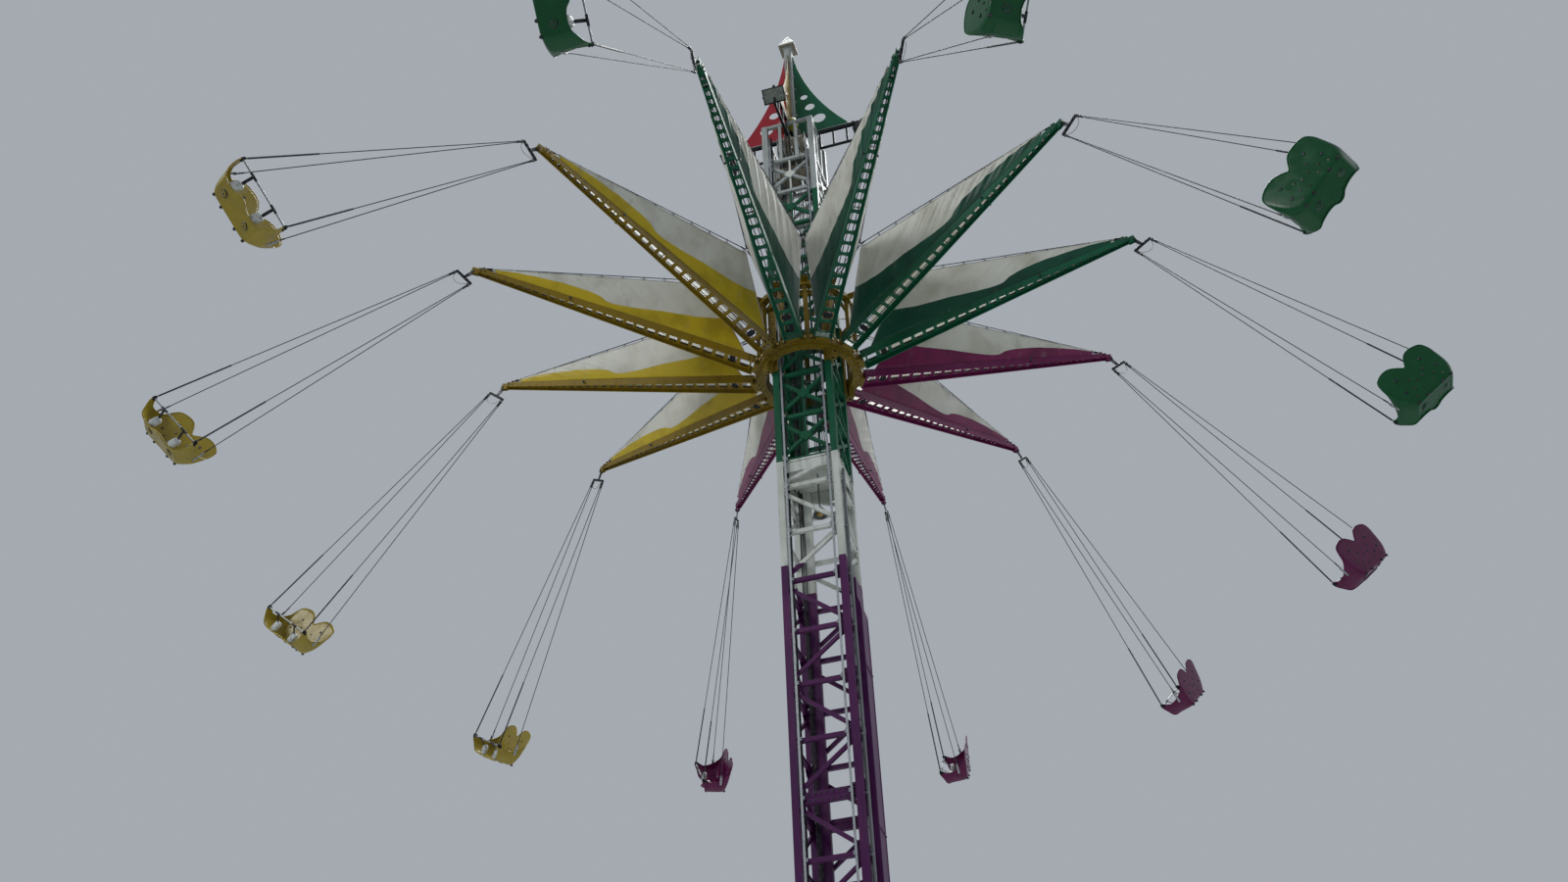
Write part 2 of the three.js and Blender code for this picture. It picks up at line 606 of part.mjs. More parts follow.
const armColour = (arm) => {
  if (arm >= 1 && arm <= 4) return 'magenta';
  return arm >= 5 && arm <= 8 ? 'yellow' : 'green';
};
const armSolid = armBody();
const sailSolid = sailPair();
const slingSolid = sling();
const seatSolid = seatShell();
for (let arm = 0; arm < armCount; arm += 1) {
  const number = String(arm + 1).padStart(2, '0');
  const spoke = new THREE.Group();
  spoke.rotation.z = arm * armStep;
  spoke.add(mesh(`arm_${number}`, armSolid, finish(armColour(arm))));
  spoke.add(mesh(`sail_${number}`, sailSolid, finish('white', 0.7)));
  const pivot = new THREE.Group();
  pivot.position.set(pivotRadius, 0, pivotHeight);
  pivot.rotation.z = -trailAngle;
  const swing = new THREE.Group();
  swing.rotation.y = -THREE.MathUtils.degToRad(swingOut[arm]);
  const hung = new THREE.Group();
  hung.rotation.z = trailAngle;
  hung.add(mesh(`sling_${number}`, slingSolid, finish('steel', 0.4, 1)));
  hung.add(mesh(`seat_${number}`, seatSolid, finish(armColour(arm), 0.3)));
  swing.add(hung);
  pivot.add(swing);
  spoke.add(pivot);
  ride.add(spoke);
}

export default ride;
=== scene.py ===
# Chair swing ride: paint, sails, ropes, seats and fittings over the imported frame. Metres, +Z up.
import math
import bmesh
import bpy
import numpy as np
from mathutils import Matrix


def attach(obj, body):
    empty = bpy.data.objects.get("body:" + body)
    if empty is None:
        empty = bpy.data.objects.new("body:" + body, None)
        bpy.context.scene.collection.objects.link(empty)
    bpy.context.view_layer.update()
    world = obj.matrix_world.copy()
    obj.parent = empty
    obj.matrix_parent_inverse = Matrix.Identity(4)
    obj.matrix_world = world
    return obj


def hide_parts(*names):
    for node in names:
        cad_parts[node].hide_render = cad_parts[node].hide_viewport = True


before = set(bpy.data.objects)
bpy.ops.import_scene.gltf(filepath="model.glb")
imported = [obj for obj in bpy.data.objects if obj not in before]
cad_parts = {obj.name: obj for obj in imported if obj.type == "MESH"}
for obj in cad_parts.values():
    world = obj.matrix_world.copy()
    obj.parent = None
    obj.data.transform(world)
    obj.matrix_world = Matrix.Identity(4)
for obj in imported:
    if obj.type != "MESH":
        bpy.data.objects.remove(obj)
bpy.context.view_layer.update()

# The camera was worked out from the arm tips, the tower's axis and its girts
camera = {
    "place": (4.817, -19.958, 1.6), "pitch": 39.06, "yaw": -1.389, "roll": -2.814, "turn": -13.57,
    "lens": 35.56, "sensor": 36.0,
}


def makeCamera():
    pitch, yaw, roll, turn = (math.radians(camera[key]) for key in ("pitch", "yaw", "roll", "turn"))
    forward = np.array([math.sin(yaw) * math.cos(pitch), math.cos(yaw) * math.cos(pitch), math.sin(pitch)])
    right = np.array([math.cos(yaw), -math.sin(yaw), 0.0])
    up = np.cross(right, forward)
    right, up = (math.cos(roll) * right + math.sin(roll) * up, -math.sin(roll) * right + math.cos(roll) * up)
    # the ride stands turned against the view, so the three directions are given in its own axes
    basis = np.array([[math.cos(turn), math.sin(turn), 0], [-math.sin(turn), math.cos(turn), 0], [0, 0, 1]])
    lens = bpy.data.cameras.new("photoCamera")
    lens.lens, lens.sensor_width, lens.clip_end = camera["lens"], camera["sensor"], 500
    eye = bpy.data.objects.new("photoCamera", lens)
    world = np.eye(4)
    world[:3, 0], world[:3, 1], world[:3, 2] = basis @ right, basis @ up, -(basis @ forward)
    world[:3, 3] = camera["place"]
    eye.matrix_world = Matrix(world.tolist())
    bpy.context.scene.collection.objects.link(eye)
    bpy.context.scene.camera = eye


# Sizes shared with the frame
armCount = 12
arm = {
    "rootRadius": 0.985, "rootHeight": 19.79, "pivotRadius": 5.98, "pivotHeight": 21.13, "drop": 0.06,
    "end": 0.09, "rootWide": 0.33, "rootHigh": 0.17, "tipWide": 0.11, "tipHigh": 0.10, "web": 0.45,
    "plate": 0.012, "lip": 0.018, "slots": 27, "slotWide": (0.64, 0.54), "slotLong": (0.72, 0.50),
    "growth": 1.8,
}
swing = {
    "out": [37, 41, 43, 44, 47, 34, 41, 46, 45, 46, 44, 37], "trail": 4, "seatDrop": 5.74,
    "spreaderDrop": 0.2, "spreader": 0.36,
}
family = ["green"] + ["magenta"] * 4 + ["yellow"] * 4 + ["green"] * 3
armRise = arm["pivotHeight"] + arm["drop"] - arm["rootHeight"]
armReach = arm["pivotRadius"] - arm["rootRadius"]
armSlope = math.atan2(armRise, armReach)
boxLength = math.hypot(armRise, armReach) - arm["end"]


# A shape is its points, its faces by size and the faces' corner coordinates
def moved(x, y, z):
    matrix = np.eye(4)
    matrix[:3, 3] = x, y, z
    return matrix


def turned(axis, degrees):
    # right-handed turn about one axis
    c, s = math.cos(math.radians(degrees)), math.sin(math.radians(degrees))
    a, b = {"x": (1, 2), "y": (2, 0), "z": (0, 1)}[axis]
    matrix = np.eye(4)
    matrix[a, a], matrix[a, b], matrix[b, a], matrix[b, b] = c, -s, s, c
    return matrix


def aimed(place, along, side=(0, 0, 1)):
    # a frame at a place with its Z along a direction and its X as near to the side vector as it can be
    z = np.asarray(along, float) / np.linalg.norm(along)
    side = np.asarray(side, float)
    if abs(z @ side) > 0.95 * np.linalg.norm(side):
        side = np.array([1.0, 0, 0]) if abs(z[0]) < 0.9 else np.array([0, 1.0, 0])
    x = side - (side @ z) * z
    x /= np.linalg.norm(x)
    matrix = np.eye(4)
    matrix[:3, 0], matrix[:3, 1], matrix[:3, 2], matrix[:3, 3] = x, np.cross(z, x), z, place
    return matrix


quarters = [turned("z", 90 * n) for n in range(4)]
spokes = [turned("z", 30 * n) for n in range(armCount)]
middles = [turned("z", 30 * n + 15) for n in range(armCount)]


def gridFaces(rows, columns, wrap=False):
    # quads between neighbouring rows and columns, and the corner coordinates in rows and columns
    last = columns if wrap else columns - 1
    i, j = np.meshgrid(np.arange(rows - 1), np.arange(last), indexing="ij")
    i, j = i.ravel(), j.ravel()
    k = (j + 1) % columns
    quads = np.stack([i * columns + j, i * columns + k, (i + 1) * columns + k, (i + 1) * columns + j], 1)
    corners = np.stack([np.stack([i, j], 1), np.stack([i, j + 1], 1), np.stack([i + 1, j + 1], 1),
                        np.stack([i + 1, j], 1)], 1).astype(float)
    return quads, corners


def shapeOf(points, groups):
    return {"points": np.asarray(points, float), "groups": groups}


def placed(shape, *matrices):
    # copies of a shape at each matrix, turned inside out where a matrix mirrors
    groups, count = [], len(shape["points"])
    stack = np.array(matrices)
    points = np.einsum("kab,nb->kna", stack[:, :3, :3], shape["points"]) + stack[:, None, :3, 3]
    flip = np.linalg.det(stack[:, :3, :3]) < 0
    for faces, corners in shape["groups"]:
        many = np.array([(faces[:, ::-1] if f else faces) + n * count for n, f in enumerate(flip)])
        uv = np.array([corners[:, ::-1] if f else corners for f in flip])
        groups.append((many.reshape(-1, faces.shape[1]), uv.reshape(-1, faces.shape[1], 2)))
    return shapeOf(points.reshape(-1, 3), groups)


def joined(*shapes):
    points, groups, start = [], [], 0
    for shape in shapes:
        points.append(shape["points"])
        groups += [(faces + start, corners) for faces, corners in shape["groups"]]
        start += len(shape["points"])
    return shapeOf(np.concatenate(points), groups)


def plainCorners(faces):
    return np.zeros((*faces.shape, 2))


def lofted(rings, capped=True):
    # a skin over rings of equal counts, from the first to the last, closed round and at both ends
    rings = np.asarray(rings, float)
    rows, columns = rings.shape[:2]
    quads, corners = gridFaces(rows, columns, wrap=True)
    groups = [(quads, corners / [rows - 1, columns])]
    if capped:
        low = np.arange(columns)[::-1][None]
        high = (np.arange(columns) + (rows - 1) * columns)[None]
        groups += [(low, plainCorners(low)), (high, plainCorners(high))]
    return shapeOf(rings.reshape(-1, 3), groups)


def circle(count, radius=1.0):
    angle = np.arange(count) / count * 2 * np.pi
    return np.stack([np.cos(angle), np.sin(angle)], 1) * radius


def turnedShape(profile, sides):
    # [radius, height] pairs carried round the Z axis, each radius a ring
    profile = np.asarray(profile, float)
    ring = circle(sides)
    rings = np.concatenate([ring[None] * profile[:, None, :1], np.repeat(profile[:, None, 1:], sides, 1)], 2)
    return lofted(rings)


def pipe(line, radius, sides=8, closed=False):
    # a circle carried along a line of points, square to it at each; u runs in metres, v once round
    line = np.asarray(line, float)
    ahead = np.roll(line, -1, 0) - np.roll(line, 1, 0)
    if not closed:
        ahead[0], ahead[-1] = line[1] - line[0], line[-1] - line[-2]
    ahead /= np.linalg.norm(ahead, axis=1, keepdims=True)
    helper = np.eye(3)[np.argmin(np.abs(ahead).max(0))]
    across = np.cross(helper, ahead)
    across /= np.linalg.norm(across, axis=1, keepdims=True)
    third = np.cross(ahead, across)
    ring = circle(sides)
    radii = np.broadcast_to(np.asarray(radius, float), (len(line),))[:, None, None]
    rings = line[:, None] + radii * (across[:, None] * ring[None, :, :1] + third[:, None] * ring[None, :, 1:])
    if closed:
        rings = np.concatenate([rings, rings[:1]])
    shape = lofted(rings, capped=not closed)
    steps = np.linalg.norm(np.diff(np.concatenate([line, line[:1]]) if closed else line, axis=0), axis=1)
    length = np.concatenate([[0], np.cumsum(steps)])
    faces, corners = shape["groups"][0]
    rows = np.rint(corners[..., 0] * (len(rings) - 1)).astype(int)
    shape["groups"][0] = (faces, np.stack([length[rows], corners[..., 1]], -1))
    return shape


def bevelBlock(size, bevel):
    # a box whose eight corners and twelve edges are cut off: four rings of eight points
    x, y, z = np.asarray(size, float) / 2
    b = bevel

    def ring(inset, height):
        w, d = x - inset, y - inset
        return [[w - b, -d, height], [w, -d + b, height], [w, d - b, height], [w - b, d, height],
                [-w + b, d, height], [-w, d - b, height], [-w, -d + b, height], [-w + b, -d, height]]
    return lofted([ring(b, -z), ring(0, -z + b), ring(0, z - b), ring(b, z)])


def softBlock(size, power, rows, columns):
    # a superellipsoid: each direction's sine and cosine are raised to 2 / power, so the sides lie flat
    def bent(value):
        return np.sign(value) * np.abs(value) ** (2 / power)
    low = np.linspace(-np.pi / 2, np.pi / 2, rows)[:, None]
    turn = (np.arange(columns) / columns * 2 * np.pi)[None]
    flat = np.maximum(bent(np.cos(low)), 0.02)
    half = np.asarray(size, float) / 2
    rings = np.stack([flat * bent(np.cos(turn)), flat * bent(np.sin(turn)),
                      np.broadcast_to(bent(np.sin(low)), (rows, columns))], -1) * half
    return lofted(rings)


def smoothLine(controls, count, closed=False):
    # Catmull-Rom curve through the control points, on the first axis, at even steps of its parameter
    controls = np.asarray(controls, float)
    total = len(controls)
    spans = total if closed else total - 1
    t = np.arange(count) / count * spans if closed else np.linspace(0, spans, count)
    start = np.minimum(t.astype(int), spans - 1)
    f = (t - start).reshape((-1,) + (1,) * (controls.ndim - 1))

    def at(offset):
        index = start + offset
        return controls[index % total] if closed else controls[np.clip(index, 0, total - 1)]
    a, b, c, d = at(-1), at(0), at(1), at(2)
    square, cube = 2 * a - 5 * b + 4 * c - d, 3 * b - a - 3 * c + d
    return 0.5 * (2 * b + (c - a) * f + square * f ** 2 + cube * f ** 3)


def boltHead(radius, height):
    # a round washer with a hexagon head on it and the bolt's end showing in the middle
    scale = [radius, height]
    washer = turnedShape(np.multiply([[1.3, 0], [1.3, 0.22], [0.9, 0.24]], scale), 10)
    return joined(washer, turnedShape(np.multiply([[1, 0.2], [1, 0.88], [0.85, 1]], scale), 6))


def slab(size, bevel, *places):
    # a bevelled box at each place, which is a point or a matrix
    return placed(bevelBlock(size, bevel), *[moved(*p) if len(p) == 3 else p for p in places])


def hoop(count, wide, high, radius, sides, *places):
    # round bar bent to an upright oval across Y, at each place
    ring = circle(count)
    line = np.stack([ring[:, 0] * wide, np.zeros(count), ring[:, 1] * high], 1)
    return placed(pipe(line, radius, sides, closed=True), *places)


def domeBolt(radius, height):
    return turnedShape([[radius * 1.25, -0.002], [radius * 1.25, height * 0.2], [radius, height * 0.3],
                        [radius * 0.75, height * 0.8], [radius * 0.3, height]], 12)


# points of a piece nearer to each other than this become one
weld = 0.00002


def makePiece(name, parts, body, replaces=(), sharp=35, merge=0.0):
    # parts are (shape, material) pairs that become one mesh with a material for each
    mesh = bpy.data.meshes.new(name)
    points, sizes, loops, corners, owners, start = [], [], [], [], [], 0
    for index, (shape, material) in enumerate(parts):
        points.append(shape["points"])
        mesh.materials.append(material)
        for faces, uv in shape["groups"]:
            sizes.append(np.full(len(faces), faces.shape[1]))
            loops.append((faces + start).ravel())
            corners.append(uv.reshape(-1, 2))
            owners.append(np.full(len(faces), index))
        start += len(shape["points"])
    points, sizes, loops = np.concatenate(points), np.concatenate(sizes), np.concatenate(loops)
    mesh.vertices.add(len(points))
    mesh.vertices.foreach_set("co", points.astype(np.float32).ravel())
    mesh.loops.add(len(loops))
    mesh.loops.foreach_set("vertex_index", loops.astype(np.int32))
    mesh.polygons.add(len(sizes))
    mesh.polygons.foreach_set("loop_start", np.concatenate([[0], np.cumsum(sizes)[:-1]]).astype(np.int32))
    mesh.polygons.foreach_set("material_index", np.concatenate(owners).astype(np.int32))
    mesh.update(calc_edges=True)
    layer = mesh.uv_layers.new(name="lay")
    layer.data.foreach_set("uv", np.concatenate(corners).astype(np.float32).ravel())
    mesh.validate()
    if merge:
        work = bmesh.new()
        work.from_mesh(mesh)
        bmesh.ops.remove_doubles(work, verts=work.verts, dist=merge)
        bmesh.ops.recalc_face_normals(work, faces=work.faces)
        work.to_mesh(mesh)
        work.free()
    mesh.polygons.foreach_set("use_smooth", np.ones(len(mesh.polygons), bool))
    mesh.set_sharp_from_angle(angle=math.radians(sharp))
    piece = bpy.data.objects.new(name, mesh)
    bpy.context.scene.collection.objects.link(piece)
    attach(piece, body)
    if replaces:
        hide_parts(*replaces)
    return piece


# Materials
def linear(text):
    # sRGB hex to linear light
    value = np.array([int(text[i:i + 2], 16) for i in (1, 3, 5)]) / 255
    value = np.where(value <= 0.04045, value / 12.92, ((value + 0.055) / 1.055) ** 2.4)
    return (*value.tolist(), 1.0)


def addNode(tree, kind, settings=None, links=None):
    node = tree.nodes.new(kind)
    for name, value in (settings or {}).items():
        if isinstance(name, str) and hasattr(node, name):
            setattr(node, name, value)
        else:
            node.inputs[name].default_value = value
    for name, source in (links or {}).items():
        tree.links.new(source, node.inputs[name])
    return node


def startMaterial(name, settings):
    material = bpy.data.materials.new(name)
    material.use_nodes = True
    shader = material.node_tree.nodes["Principled BSDF"]
    for key, value in settings.items():
        shader.inputs[key].default_value = value
    return material, material.node_tree, shader


def mixed(tree, factor, first, second):
    # a colour mix; first and second are sockets or colours
    node = addNode(tree, "ShaderNodeMix", {"data_type": "RGBA"})
    for index, value in ((0, factor), (6, first), (7, second)):
        if isinstance(value, (tuple, float, int)):
            node.inputs[index].default_value = value
        else:
            tree.links.new(value, node.inputs[index])
    return node.outputs[2]


def stepped(tree, value, low, high):
    # smooth step from 0 at low to 1 at high
    settings = {"interpolation_type": "SMOOTHSTEP", "From Min": low, "From Max": high}
    return addNode(tree, "ShaderNodeMapRange", settings, {"Value": value}).outputs["Result"]


def speckle(tree, place, size, detail, stretch=(1, 1, 1), roughness=0.5):
    # noise whose blotches are about `size` metres across, squeezed along each axis by `stretch`
    spot = addNode(tree, "ShaderNodeMapping", {"Scale": stretch}, {"Vector": place})
    return addNode(tree, "ShaderNodeTexNoise", {"Scale": 1 / size, "Detail": detail, "Roughness": roughness},
                   {"Vector": spot.outputs["Vector"]}).outputs["Fac"]


def blotches(tree, place, size, low, high, detail=4, stretch=(1, 1, 1), roughness=0.5):
    # the same noise as patches with a soft edge
    return stepped(tree, speckle(tree, place, size, detail, stretch, roughness), low, high)


def banded(tree, place, pitch, direction="X"):
    # even bands `pitch` metres apart
    settings = {"Scale": 1 / pitch / 20, "wave_type": "BANDS", "bands_direction": direction}
    return addNode(tree, "ShaderNodeTexWave", settings, {"Vector": place}).outputs["Fac"]


def scaled(tree, value, factor):
    return addNode(tree, "ShaderNodeMath", {"operation": "MULTIPLY", 1: factor}, {0: value}).outputs[0]


def coloured(tree, shader, factor, first, second):
    tree.links.new(mixed(tree, factor, first, second), shader.inputs["Base Color"])


def glossed(tree, shader, low, high, value):
    # roughness from low to high as the value goes from 0 to 1
    gloss = addNode(tree, "ShaderNodeMapRange", {"To Min": low, "To Max": high}, {"Value": value})
    tree.links.new(gloss.outputs["Result"], shader.inputs["Roughness"])


def bumped(tree, shader, height, distance, strength):
    bump = addNode(tree, "ShaderNodeBump", {"Distance": distance, "Strength": strength}, {"Height": height})
    tree.links.new(bump.outputs["Normal"], shader.inputs["Normal"])


def surface(name, settings):
    # a started material and the object's own coordinates
    material, tree, shader = startMaterial(name, settings)
    return material, tree, shader, addNode(tree, "ShaderNodeTexCoord").outputs["Object"]


def enamel(name, colour, faded, grime, roughness, wear):
    # two-pack enamel sprayed on steel: even and glossy when new, then chalky, streaked by rain and
    # chipped to grey primer; the orange peel is drawn at 30 mm because the real 3 mm would not show
    material, tree, shader, place = surface(name, {
        "IOR": 1.45, "Specular IOR Level": 0.2, "Coat Weight": 0.02, "Coat Roughness": 0.35})
    fade = blotches(tree, place, 0.9, 0.38, 0.72)
    streak = blotches(tree, place, 0.09, 0.5, 0.78, stretch=(1, 1, 0.08))
    chip = blotches(tree, place, 0.035, 0.70 - 0.03 * wear, 0.72, 5, roughness=0.7)
    dirt = scaled(tree, streak, 0.6 * wear)
    dirty = mixed(tree, dirt, mixed(tree, fade, linear(colour), linear(faded)), linear(grime))
    coloured(tree, shader, scaled(tree, chip, wear), dirty, linear("#6f6a64"))
    glossed(tree, shader, roughness, roughness + 0.25, dirt)
    bumped(tree, shader, speckle(tree, place, 0.03, 2), 0.0012, 0.5)
    return material


def gelcoat(name, colour, faded, grime):
    # gel coat on glass fibre from a polished mould: deep colour, wet gloss, fine scuffs and a grey
    # bloom where hands and shoes rub; the laminate shows as a slow ripple
    material, tree, shader, place = surface(name, {
        "IOR": 1.45, "Specular IOR Level": 0.25, "Coat Weight": 0.06, "Coat Roughness": 0.2})
    bloom = blotches(tree, place, 0.22, 0.42, 0.75)
    scuff = blotches(tree, place, 0.05, 0.55, 0.8, 3, (1, 0.3, 1), 0.6)
    worn = mixed(tree, bloom, linear(colour), linear(faded))
    coloured(tree, shader, scaled(tree, scuff, 0.22), worn, linear(grime))
    glossed(tree, shader, 0.2, 0.45, bloom)
    bumped(tree, shader, speckle(tree, place, 0.12, 2), 0.003, 0.4)
    return material


def zinc(name, colour, dark):
    # hot-dipped zinc, dulled: crystals some 20 mm across, each its own grey, and white bloom
    material, tree, shader, place = surface(name, {"Metallic": 0.85})
    crystal = addNode(tree, "ShaderNodeTexVoronoi", {"Scale": 1 / 0.02}, {"Vector": place})
    tone = addNode(tree, "ShaderNodeSeparateColor", None, {"Color": crystal.outputs["Color"]}).outputs["Red"]
    coloured(tree, shader, blotches(tree, place, 0.15, 0.5, 0.8),
             mixed(tree, tone, linear(colour), linear(dark)), linear("#8c8f90"))
    glossed(tree, shader, 0.32, 0.5, tone)
    bumped(tree, shader, tone, 0.0004, 0.4)
    return material


def wireRope(name, colour, valley, strands=6, lay=0.09):
    # six galvanised strands laid round a core: the twist repeats every `lay` metres, and the grooves
    # between the strands are drawn darker; u is the length in metres and v goes once round
    material, tree, shader = startMaterial(name, {"Metallic": 0.3, "Roughness": 0.6})
    spread = addNode(tree, "ShaderNodeSeparateXYZ", None, {
        "Vector": addNode(tree, "ShaderNodeUVMap", {"uv_map": "lay"}).outputs["UV"]})
    phase = addNode(tree, "ShaderNodeMath", {"operation": "MULTIPLY_ADD", 1: float(strands)},
                    {0: spread.outputs["Y"], 2: scaled(tree, spread.outputs["X"], 1 / lay)})
    angle = scaled(tree, phase.outputs[0], 2 * math.pi)
    wave = addNode(tree, "ShaderNodeMath", {"operation": "SINE"}, {0: angle})
    crest = stepped(tree, wave.outputs[0], -1.0, 0.6)
    coloured(tree, shader, crest, linear(valley), linear(colour))
    bumped(tree, shader, crest, 0.002, 0.8)
    return material


def rubber(name, colour, roughness):
    # extruded or moulded black rubber: dull, greyed by sun and dust, with a fine mould grain
    material, tree, shader, place = surface(name, {"IOR": 1.5, "Specular IOR Level": 0.35})
    dust = blotches(tree, place, 0.06, 0.45, 0.8)
    coloured(tree, shader, dust, linear(colour), linear("#54575a"))
    glossed(tree, shader, roughness, 0.85, dust)
    bumped(tree, shader, speckle(tree, place, 0.004, 2), 0.0005, 0.5)
    return material


def stained(tree, shader, place, tone, share, low, high):
    # rain stains that run down a coated cloth, and its weave, drawn at 12 mm as the real 1 mm would not show
    stain = blotches(tree, place, 0.16, 0.58, 0.8, 5, (1, 1, 0.25))
    coloured(tree, shader, scaled(tree, stain, share), tone, linear("#77766a"))
    glossed(tree, shader, low, high, stain)
    bumped(tree, shader, banded(tree, place, 0.012), 0.0006, 0.3)


def sailcloth(name, colour, deep):
    # PVC-coated polyester with a soft sheen, printed in two tones whose edge is two plain swells;
    # u runs along the arm and v up the sail
    material, tree, shader, place = surface(name, {
        "IOR": 1.45, "Sheen Weight": 0.15, "Specular IOR Level": 0.3})
    lay = addNode(tree, "ShaderNodeUVMap", {"uv_map": "lay"}).outputs["UV"]
    spread = addNode(tree, "ShaderNodeSeparateXYZ", None, {"Vector": lay})
    edge = addNode(tree, "ShaderNodeFloatCurve", None, {"Value": spread.outputs["X"]})
    curve = edge.mapping.curves[0]
    swells = [(0.0, 0.50), (0.14, 0.40), (0.30, 0.34), (0.44, 0.24), (0.53, 0.20), (0.56, 0.34), (0.66, 0.52),
              (0.80, 0.66), (0.92, 0.80), (1.0, 0.86)]
    curve.points[0].location, curve.points[1].location = swells[0], swells[-1]
    for spot in swells[1:-1]:
        curve.points.new(*spot)
    edge.mapping.update()
    over = addNode(tree, "ShaderNodeMath", {"operation": "SUBTRACT"},
                   {0: spread.outputs["Y"], 1: edge.outputs["Value"]})
    printed = stepped(tree, over.outputs[0], -0.006, 0.006)
    white = mixed(tree, blotches(tree, place, 0.5, 0.4, 0.75), linear("#c6c6bb"), linear("#adac9d"))
    ink = mixed(tree, blotches(tree, place, 0.4, 0.4, 0.75), linear(colour), linear(deep))
    stained(tree, shader, place, mixed(tree, printed, ink, white), 0.35, 0.42, 0.65)
    return material


def toughGlass(name):
    # toughened glass over a dull reflector: dark grey-green, glossy, ribbed every 25 mm, dusty in patches
    material, tree, shader, place = surface(name, {"IOR": 1.52, "Coat Weight": 0.3, "Coat Roughness": 0.15})
    ribs = banded(tree, place, 0.025, "DIAGONAL")
    dust = blotches(tree, place, 0.08, 0.45, 0.8)
    coloured(tree, shader, dust, mixed(tree, ribs, linear("#4f5850"), linear("#5d665d")), linear("#6d7269"))
    glossed(tree, shader, 0.18, 0.5, dust)
    bumped(tree, shader, ribs, 0.001, 0.3)
    return material


def acrylic(name, colour, deep):
    # moulded acrylic lens: warm and clear-topped, with a prism pattern every 8 mm inside
    material, tree, shader, place = surface(name, {"IOR": 1.49, "Transmission Weight": 0.15})
    cells = addNode(tree, "ShaderNodeTexVoronoi", {"Scale": 1 / 0.008}, {"Vector": place})
    prisms = cells.outputs["Distance"]
    coloured(tree, shader, prisms, linear(colour), linear(deep))
    glossed(tree, shader, 0.15, 0.35, speckle(tree, place, 0.05, 3))
    bumped(tree, shader, prisms, 0.001, 0.5)
    return material


def clothLining(name, colour="#c2c2b6", shade="#aaa99b"):
    # the unprinted face of the same coated cloth, a little chalky
    material, tree, shader, place = surface(name, {
        "IOR": 1.45, "Sheen Weight": 0.1, "Specular IOR Level": 0.25})
    tone = mixed(tree, blotches(tree, place, 0.5, 0.4, 0.75), linear(colour), linear(shade))
    stained(tree, shader, place, tone, 0.3, 0.5, 0.7)
    return material


paints = {
    "purple": enamel("enamelPurple", "#441347", "#522050", "#1f1220", 0.42, 0.5),
    "white": enamel("enamelWhite", "#c9cdc6", "#b4b8ae", "#5f5f54", 0.46, 0.8),
    "green": enamel("enamelGreen", "#0d4f34", "#175a41", "#0f2820", 0.42, 0.5),
    "yellow": enamel("enamelYellow", "#806914", "#736022", "#3a2f14", 0.42, 0.6),
    "ochre": enamel("enamelOchre", "#725f16", "#62521d", "#2c2510", 0.45, 0.7),
    "magenta": enamel("enamelMagenta", "#611744", "#6d2653", "#2a131f", 0.42, 0.5),
    "black": enamel("enamelBlack", "#101316", "#1d2124", "#2d2b27", 0.5, 0.4),
    "grey": enamel("enamelGrey", "#74777a", "#83868a", "#47443d", 0.5, 0.9),
    "dull": enamel("enamelGreyWhite", "#a0a6a4", "#8d938f", "#55554c", 0.5, 0.8),
    "red": enamel("enamelRed", "#8e2029", "#98303a", "#451518", 0.42, 0.5),
    "beige": enamel("enamelBeige", "#8a8474", "#787260", "#3b362b", 0.5, 0.9),
}
gelcoats = {
    "green": gelcoat("gelcoatGreen", "#034522", "#074b29", "#1d3a2a"),
    "magenta": gelcoat("gelcoatMagenta", "#510a3a", "#5c1545", "#41203a"),
    "yellow": gelcoat("gelcoatYellow", "#8f7e2a", "#857536", "#5f562e"),
}
cloths = {
    "green": sailcloth("sailclothGreen", "#0d4634", "#093528"),
    "magenta": sailcloth("sailclothMagenta", "#701549", "#59103b"),
    "yellow": sailcloth("sailclothYellow", "#b69f1a", "#9a8614"),
}
hems = {
    "green": clothLining("webbingGreen", "#0c3f30", "#093227"),
    "magenta": clothLining("webbingMagenta", "#5f123f", "#4d0e33"),
    "yellow": clothLining("webbingYellow", "#8f740f", "#77600c"),
}
zincPlate = zinc("zincDipped", "#a3a8ab", "#858a8d")
darkSteel = zinc("steelDarkened", "#45494c", "#2f3234")
rope = wireRope("ropeGalvanised", "#4d5255", "#1d2022")
sleeveRubber = rubber("rubberSleeve", "#14171a", 0.5)
padRubber = rubber("polyurethanePad", "#b4b8b4", 0.45)
webbing = rubber("webbingBlack", "#101214", 0.7)
lining = clothLining("sailclothLining")
hemWebbing = clothLining("webbingHem", "#a9aaa4", "#8b8c86")
floodGlass = toughGlass("glassToughened")
lampAcrylic = acrylic("acrylicAmber", "#c9a552", "#a8853a")
redAcrylic = acrylic("acrylicRed", "#c4452c", "#92301f")
limeAcrylic = acrylic("acrylicLime", "#a9a636", "#7f8427")
print("materials made")

# Arms: channel plates with lips, a web with oblong slots between them, and the fork
upright = moved(arm["rootRadius"], 0, arm["rootHeight"]) @ turned("y", -math.degrees(armSlope))
web = {"start": 0.06, "end": 0.15, "frame": 0.7, "top": 0.6, "edge": 1.08, "lip": 0.007, "turns": 24}


def armFrame(number):
    spoke = spokes[number - 1]
    return spoke, spoke @ upright


def armSize(x):
    share = np.asarray(x, float) / boxLength
    wide = arm["rootWide"] + (arm["tipWide"] - arm["rootWide"]) * share
    return wide, arm["rootHigh"] + (arm["tipHigh"] - arm["rootHigh"]) * share


def webHeight(x):
    return armSize(x)[1] * (arm["web"] - 0.5)


